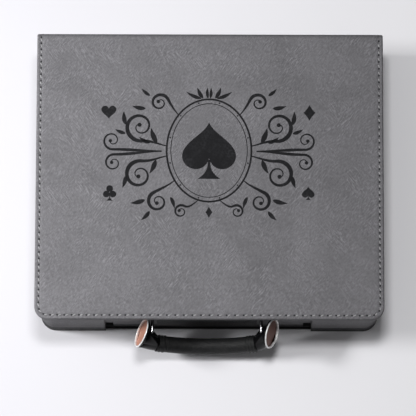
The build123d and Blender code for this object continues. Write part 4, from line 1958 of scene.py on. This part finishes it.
    def neck(self, side: Side) -> None:
        """Makes one glossy neck, its forms blended by remeshing and smoothing.

        Args:
            side: which end.
        """
        obj = self.neck_parts(side).object(f"neck_shell_{side.word}", self.finishes.gloss)
        remesh = obj.modifiers.new("blend", "REMESH")
        remesh.mode = "VOXEL"
        remesh.voxel_size = self.neck_voxel * MM
        remesh.use_smooth_shade = True
        smooth = obj.modifiers.new("soften", "SMOOTH")
        smooth.factor = 0.5
        smooth.iterations = 7
        apply_modifiers(obj)
        self.drop_crumbs(obj.data)
        settle(obj, Body.HANDLE, [f"neck_{side.word}"])

    def post(self, side: Side) -> None:
        """Makes one post: out of the wall, round a bend and along the pivot axis.

        Args:
            side: which end.
        """
        sign, bend = side.value, self.post_bend
        leg = self.middle_x + sign * self.post_leg
        turn = spokes(np.linspace(0, np.pi / 2, 16))
        curve = (leg + sign * bend, self.pivot_y + bend) - turn * (sign * bend, bend)
        root = np.linspace((leg, self.post_root_y), curve[0], 6)[:-1]
        tip = np.linspace(curve[-1], (self.middle_x + sign * self.post_tip, self.pivot_y), 4)[1:]
        path = raised(np.concatenate((root, curve, tip)), self.pivot_z)
        shell = bar(path, (0.0, 0.0, 1.0), np.full(len(path), self.post_radius), 24)
        profile = ((2.4, 0.0), (2.4, 0.55), (2.2, 0.85), (1.8, 1.0), (1.2, 1.0))
        foot = (leg, self.recess_y, self.pivot_z)
        flange = lathe(profile, 40, FRONT_WALL_AXES, foot, solid=True)
        obj = shell.plus(flange).object(f"post_bar_{side.word}", self.finishes.chrome)
        settle(obj, Body.CASE, [f"post_{side.word}"])

    def wall_plate(self) -> None:
        """Makes the black plate on the wall behind the grip."""

        def face(x: Array, y: Array) -> Array:
            """The face dips a little where it is pressed to the wall."""
            from_edge = self.plate.rear - np.abs(y)
            return self.plate_thickness - 0.05 * (1 + ripple(x, y, 18.0, 31)) * smooth_step(from_edge, 0, 4)

        rings = rounded_edge(self.plate_thickness, 0.0, 0.35, 0.05, 4)
        shell = slab(self.plate, self.plate.lines((0.0, 0.3, 0.7, 1.3, 2.0), 2.0), rings, face, 0.0)
        origin = (self.middle_x, self.recess_y, self.plate_middle_z)
        obj = shell.turned(FRONT_WALL_AXES, origin).object("plate_skin", self.finishes.black)
        settle(obj, Body.CASE, ["handle_plate"])

    def build(self) -> None:
        """Makes the handle's pieces and dresses the nodes that stay."""
        self.wall_plate()
        self.grip()
        for side in Side:
            self.post(side)
            self.neck(side)
            self.end_disc(side)
        dress("grip_core", self.finishes.felt)
        dress("post_nuts", self.finishes.steel)


@dataclass
class Contents:
    """What the case holds: chips, decks and dice in the felted insert."""

    finishes: Finishes
    chip_axis_z: float = 24.6
    chip_pitch: float = 3.36
    inner_row: float = 35.0
    outer_row: float = 78.5
    chip_white: Colour = (0.72, 0.71, 0.67)
    deck_x: float = 52.0
    deck_y: float = -46.0
    deck_length: float = 91.0
    deck_width: float = 65.0
    deck_low: float = 13.5
    deck_high: float = 32.36
    die_size: float = 16.0
    die_round: float = 1.9
    die_pitch: float = 16.3
    die_middle_y: float = 44.0
    die_low: float = 19.5
    die_grid: int = 41
    pip_radius: float = 1.35
    pip_depth: float = 0.55
    pip_spacing: float = 3.9

    def chips(self) -> None:
        """Dresses the four rows of chips."""
        rows = (
            ("chips_white", -self.outer_row, (0.70, 0.69, 0.65), (0.06, 0.06, 0.065)),
            ("chips_red", -self.inner_row, (0.36, 0.016, 0.018), self.chip_white),
            ("chips_blue", self.inner_row, (0.016, 0.04, 0.26), self.chip_white),
            ("chips_black", self.outer_row, (0.014, 0.014, 0.015), self.chip_white),
        )
        for node, row_x, colour, block in rows:
            row_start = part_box(node)[0].y / MM - (self.chip_pitch - 3.3) / 2
            name = node.replace("_", " ")
            finish = ChipFinish(name, colour, block, row_x, self.chip_axis_z, row_start, self.chip_pitch)
            dress(node, finish.build())

    def deck(self, word: str, centre_x: float, colour: Colour) -> None:
        """Makes one deck's carton, slightly swollen, with a thumb cut at its inner end.

        Args:
            word: its colour's name.
            centre_x: its middle.
            colour: its ink.
        """
        half_length, half_width = self.deck_length / 2, self.deck_width / 2
        panel = Panel(self.deck_length, self.deck_y - half_width, self.deck_y + half_width, 0.5, 0.5)
        inner_end = -math.copysign(half_length, centre_x)

        def face(x: Array, y: Array) -> Array:
            """The swelling, a product of cosines, with the half-round thumb cut pressed in.

            Args:
                x: places along the carton.
                y: places across it.

            Returns:
                The top's height.
            """
            y = y - self.deck_y
            swell = 0.12 * np.cos(np.pi * x / self.deck_length) * np.cos(np.pi * y / self.deck_width)
            cut = np.hypot(x - inner_end, y)
            return self.deck_high + swell - 0.30 * (1 - smooth_step(cut, 8.6, 9.2))

        rings = rounded_edge(self.deck_high, self.deck_low, 0.35, 0.35, 4)
        lines = panel.lines((0.0, 0.15, 0.35, 0.6, 1.0, 2.0, 3.5), 2.6)
        shell = slab(panel, lines, rings, face, self.deck_low)
        finish = CartonFinish(f"carton {word}", colour, (centre_x, self.deck_y), (half_length, half_width))
        obj = shell.turned(np.eye(3), (centre_x, 0, 0)).object(f"carton_{word}", finish.build())
        settle(obj, Body.CASE, [f"deck_box_{word}"])
        dress(f"deck_cards_{word}", self.finishes.cards)

    def die_face(self, pips: int) -> tuple[Array, Array]:
        """Points of one face of a die, looking up, and how far each is in a pip.

        A point of the cube is held to the box of its corner centres, and the round is added
        towards the point. A pip is a dish whose depth is the root of 1 less the square of the
        distance.

        Args:
            pips: the face's number.

        Returns:
            The points and the pips' share at each.
        """
        half, core_half = self.die_size / 2, self.die_size / 2 - self.die_round
        spread = np.pi / 2 * 0.97
        line = half * np.sin(np.linspace(-1, 1, self.die_grid) * spread) / math.sin(spread)
        cube = raised(np.stack(np.meshgrid(line, line), axis=-1), half)
        core = np.clip(cube, -core_half, core_half)
        points = core + self.die_round * unit(cube - core)
        pair, other_pair, sides = ((-1, -1), (1, 1)), ((-1, 1), (1, -1)), ((-1, 0), (1, 0))
        middle = ((0, 0),) if pips % 2 else ()
        spots = middle + pair * (pips > 1) + other_pair * (pips > 3) + sides * (pips > 5)
        mark = np.zeros(points.shape[:2])
        for spot in spots:
            off = points[..., :2] - self.pip_spacing * np.array(spot)
            reach = np.linalg.norm(off, axis=-1) / self.pip_radius
            points[..., 2] -= self.pip_depth * np.sqrt(np.clip(1 - reach**2, 0, 1))
            mark = np.maximum(mark, 1 - smooth_step(reach, 0.85, 1.1))
        return points.reshape(-1, 3), mark.ravel()

    def dice(self) -> None:
        """Makes the five dice, each with another face up."""
        turns = (
            ((1, 0, 0), (0, 1, 0), (0, 0, 1)), ((1, 0, 0), (0, -1, 0), (0, 0, -1)),
            ((0, 0, -1), (0, 1, 0), (1, 0, 0)), ((0, 0, 1), (0, 1, 0), (-1, 0, 0)),
            ((1, 0, 0), (0, 0, -1), (0, 1, 0)), ((1, 0, 0), (0, 0, 1), (0, -1, 0)),
        )
        numbers = ((1, 6, 2, 5, 3, 4), (5, 2, 1, 6, 4, 3), (3, 4, 6, 1, 2, 5))
        numbers += ((6, 1, 3, 4, 5, 2), (2, 5, 4, 3, 1, 6))
        quads = grid_faces(self.die_grid, self.die_grid)
        sides, marks = [], []
        for index, values in enumerate(numbers):
            centre = (0, self.die_middle_y + (index - 2) * self.die_pitch, self.die_low + self.die_size / 2)
            for turn, value in zip(turns, values):
                points, mark = self.die_face(value)
                sides.append(Shell(points, [quads]).turned(turn, centre))
                marks.append(mark)
        obj = reduce(Shell.plus, sides).object("dice_set", self.finishes.dice)
        paint(obj, PIP_ATTRIBUTE, np.concatenate(marks))
        weld = obj.modifiers.new("weld", "WELD")
        weld.merge_threshold = 0.004 * MM
        apply_modifiers(obj)
        settle(obj, Body.CASE, ["dice"])

    def build(self) -> None:
        """Makes and dresses the contents."""
        dress("insert_tray", self.finishes.foam)
        self.chips()
        self.deck("red", -self.deck_x, (0.40, 0.012, 0.02))
        self.deck("blue", self.deck_x, (0.014, 0.045, 0.28))
        self.dice()


@dataclass
class Studio:
    """The floor, the soft light and the camera, with sizes in metres."""

    floor_half: float = 9.0
    floor_left: Colour = (0.64, 0.635, 0.67)
    floor_right: Colour = (0.96, 0.955, 0.985)
    floor_span: float = 0.15
    bounce_colour: Colour = (0.42, 0.42, 0.43)
    world_strength: float = 0.13
    side_softness: float = 0.24
    side_spread: float = 2.4
    camera_place: Place = (0.0017, -0.5965, 2.7736)
    camera_tilt: float = 11.92
    camera_yaw: float = 0.281
    camera_roll: float = -0.118
    focal_pixels: float = 4000.0
    image_pixels: float = 416.0
    sensor: float = 36.0

    def floor(self) -> None:
        """Makes the pale floor, which shows pale to the eye and sends back less light."""
        half = self.floor_half
        corners = [(-half, -half, 0), (half, -half, 0), (half, half, 0), (-half, half, 0)]
        mesh = bpy.data.meshes.new("floor")
        mesh.from_pydata(corners, [], [(0, 1, 2, 3)])
        obj = bpy.data.objects.new("floor", mesh)
        bpy.context.scene.collection.objects.link(obj)
        graph = Graph("pale floor")
        path = graph.add("LightPath").outputs
        seen = graph.math("MAXIMUM", path["Is Camera Ray"], path["Is Glossy Ray"])
        seen = graph.math("MAXIMUM", seen, path["Is Transmission Ray"])
        across = graph.add("SeparateXYZ", {0: graph.place}).outputs[0]
        share = graph.ramp(across, -self.floor_span, self.floor_span)
        pale = graph.mix(share, self.floor_left, self.floor_right)
        graph.set(Base_Color=graph.mix(seen, self.bounce_colour, pale), Roughness=1.0, Specular_IOR_Level=0.0)
        mesh.materials.append(graph.material)

    def world(self) -> None:
        """Makes the even white surroundings."""
        world = bpy.data.worlds.new("surroundings")
        world.use_nodes = True
        background = world.node_tree.nodes["Background"]
        background.inputs[0].default_value = (1.0, 1.0, 1.0, 1.0)
        background.inputs[1].default_value = self.world_strength
        bpy.context.scene.world = world

    def lamp(
        self, kind: str, name: str, place: Place, target: Place, power: float, spread: float = 1.0, **settings
    ) -> None:
        """Hangs one soft lamp.

        Args:
            kind: a flat lamp's or a spot's kind.
            name: its name.
            place: where it hangs.
            target: what it looks at.
            power: its power in watts.
            spread: how much wider it shines along Y.
            settings: its other properties.
        """
        light = bpy.data.lights.new(name, kind)
        light.energy = power
        for key, value in settings.items():
            setattr(light, key, value)
        obj = bpy.data.objects.new(name, light)
        away = unit(np.asarray(place, float) - np.asarray(target, float))
        sideways = unit(np.cross((0.0, 1.0, 0.001), away))
        turn = Matrix(np.stack((sideways, np.cross(away, sideways), away)).T.tolist()).to_4x4()
        obj.matrix_world = Matrix.Translation(place) @ turn @ Matrix.Diagonal((1.0, spread, 1.0, 1.0))
        bpy.context.scene.collection.objects.link(obj)

    def camera(self) -> None:
        """Makes the camera, which looks down with a slight lean to the rear."""
        data = bpy.data.cameras.new("camera")
        data.sensor_width = self.sensor
        data.lens = self.sensor * self.focal_pixels / self.image_pixels
        data.clip_start = 0.05
        data.clip_end = 50.0
        obj = bpy.data.objects.new("camera", data)
        turns = ((self.camera_yaw, "Z"), (self.camera_tilt, "X"), (self.camera_roll, "Z"))
        yaw, tilt, roll = (Matrix.Rotation(math.radians(angle), 4, axis) for angle, axis in turns)
        obj.matrix_world = Matrix.Translation(self.camera_place) @ (yaw @ tilt @ roll)
        bpy.context.scene.collection.objects.link(obj)
        bpy.context.scene.camera = obj

    def build(self) -> None:
        """Makes the studio."""
        self.floor()
        self.world()
        flat = {"shape": "RECTANGLE"}
        cone = {"spot_size": math.radians(22.0), "spot_blend": 1.0, "shadow_soft_size": self.side_softness}
        self.lamp("AREA", "key", (-0.01, 0.16, 2.0), (0, 0, 0.03), 16.9, **flat, size=0.36, size_y=0.26)
        self.lamp("SPOT", "side", (-1.50, 0.02, 1.10), (-0.42, 0.0, 0.05), 272.0, self.side_spread, **cone)
        self.lamp("AREA", "front", (-0.4, -2.4, 0.50), (0, -0.1, 0.03), 3.2, **flat, size=1.8, size_y=0.4)
        self.camera()
        bpy.context.scene.view_settings.view_transform = "Standard"


def main() -> None:
    """Builds the case and its studio."""
    logging.basicConfig(level=logging.INFO, format="%(message)s")
    Studio().build()
    finishes = Finishes()
    lid = Lid(finishes)
    lid.build()
    Ornament(lid, finishes).build()
    Walls(finishes).build()
    Handle(finishes).build()
    Contents(finishes).build()


if __name__ == "__main__":
    main()
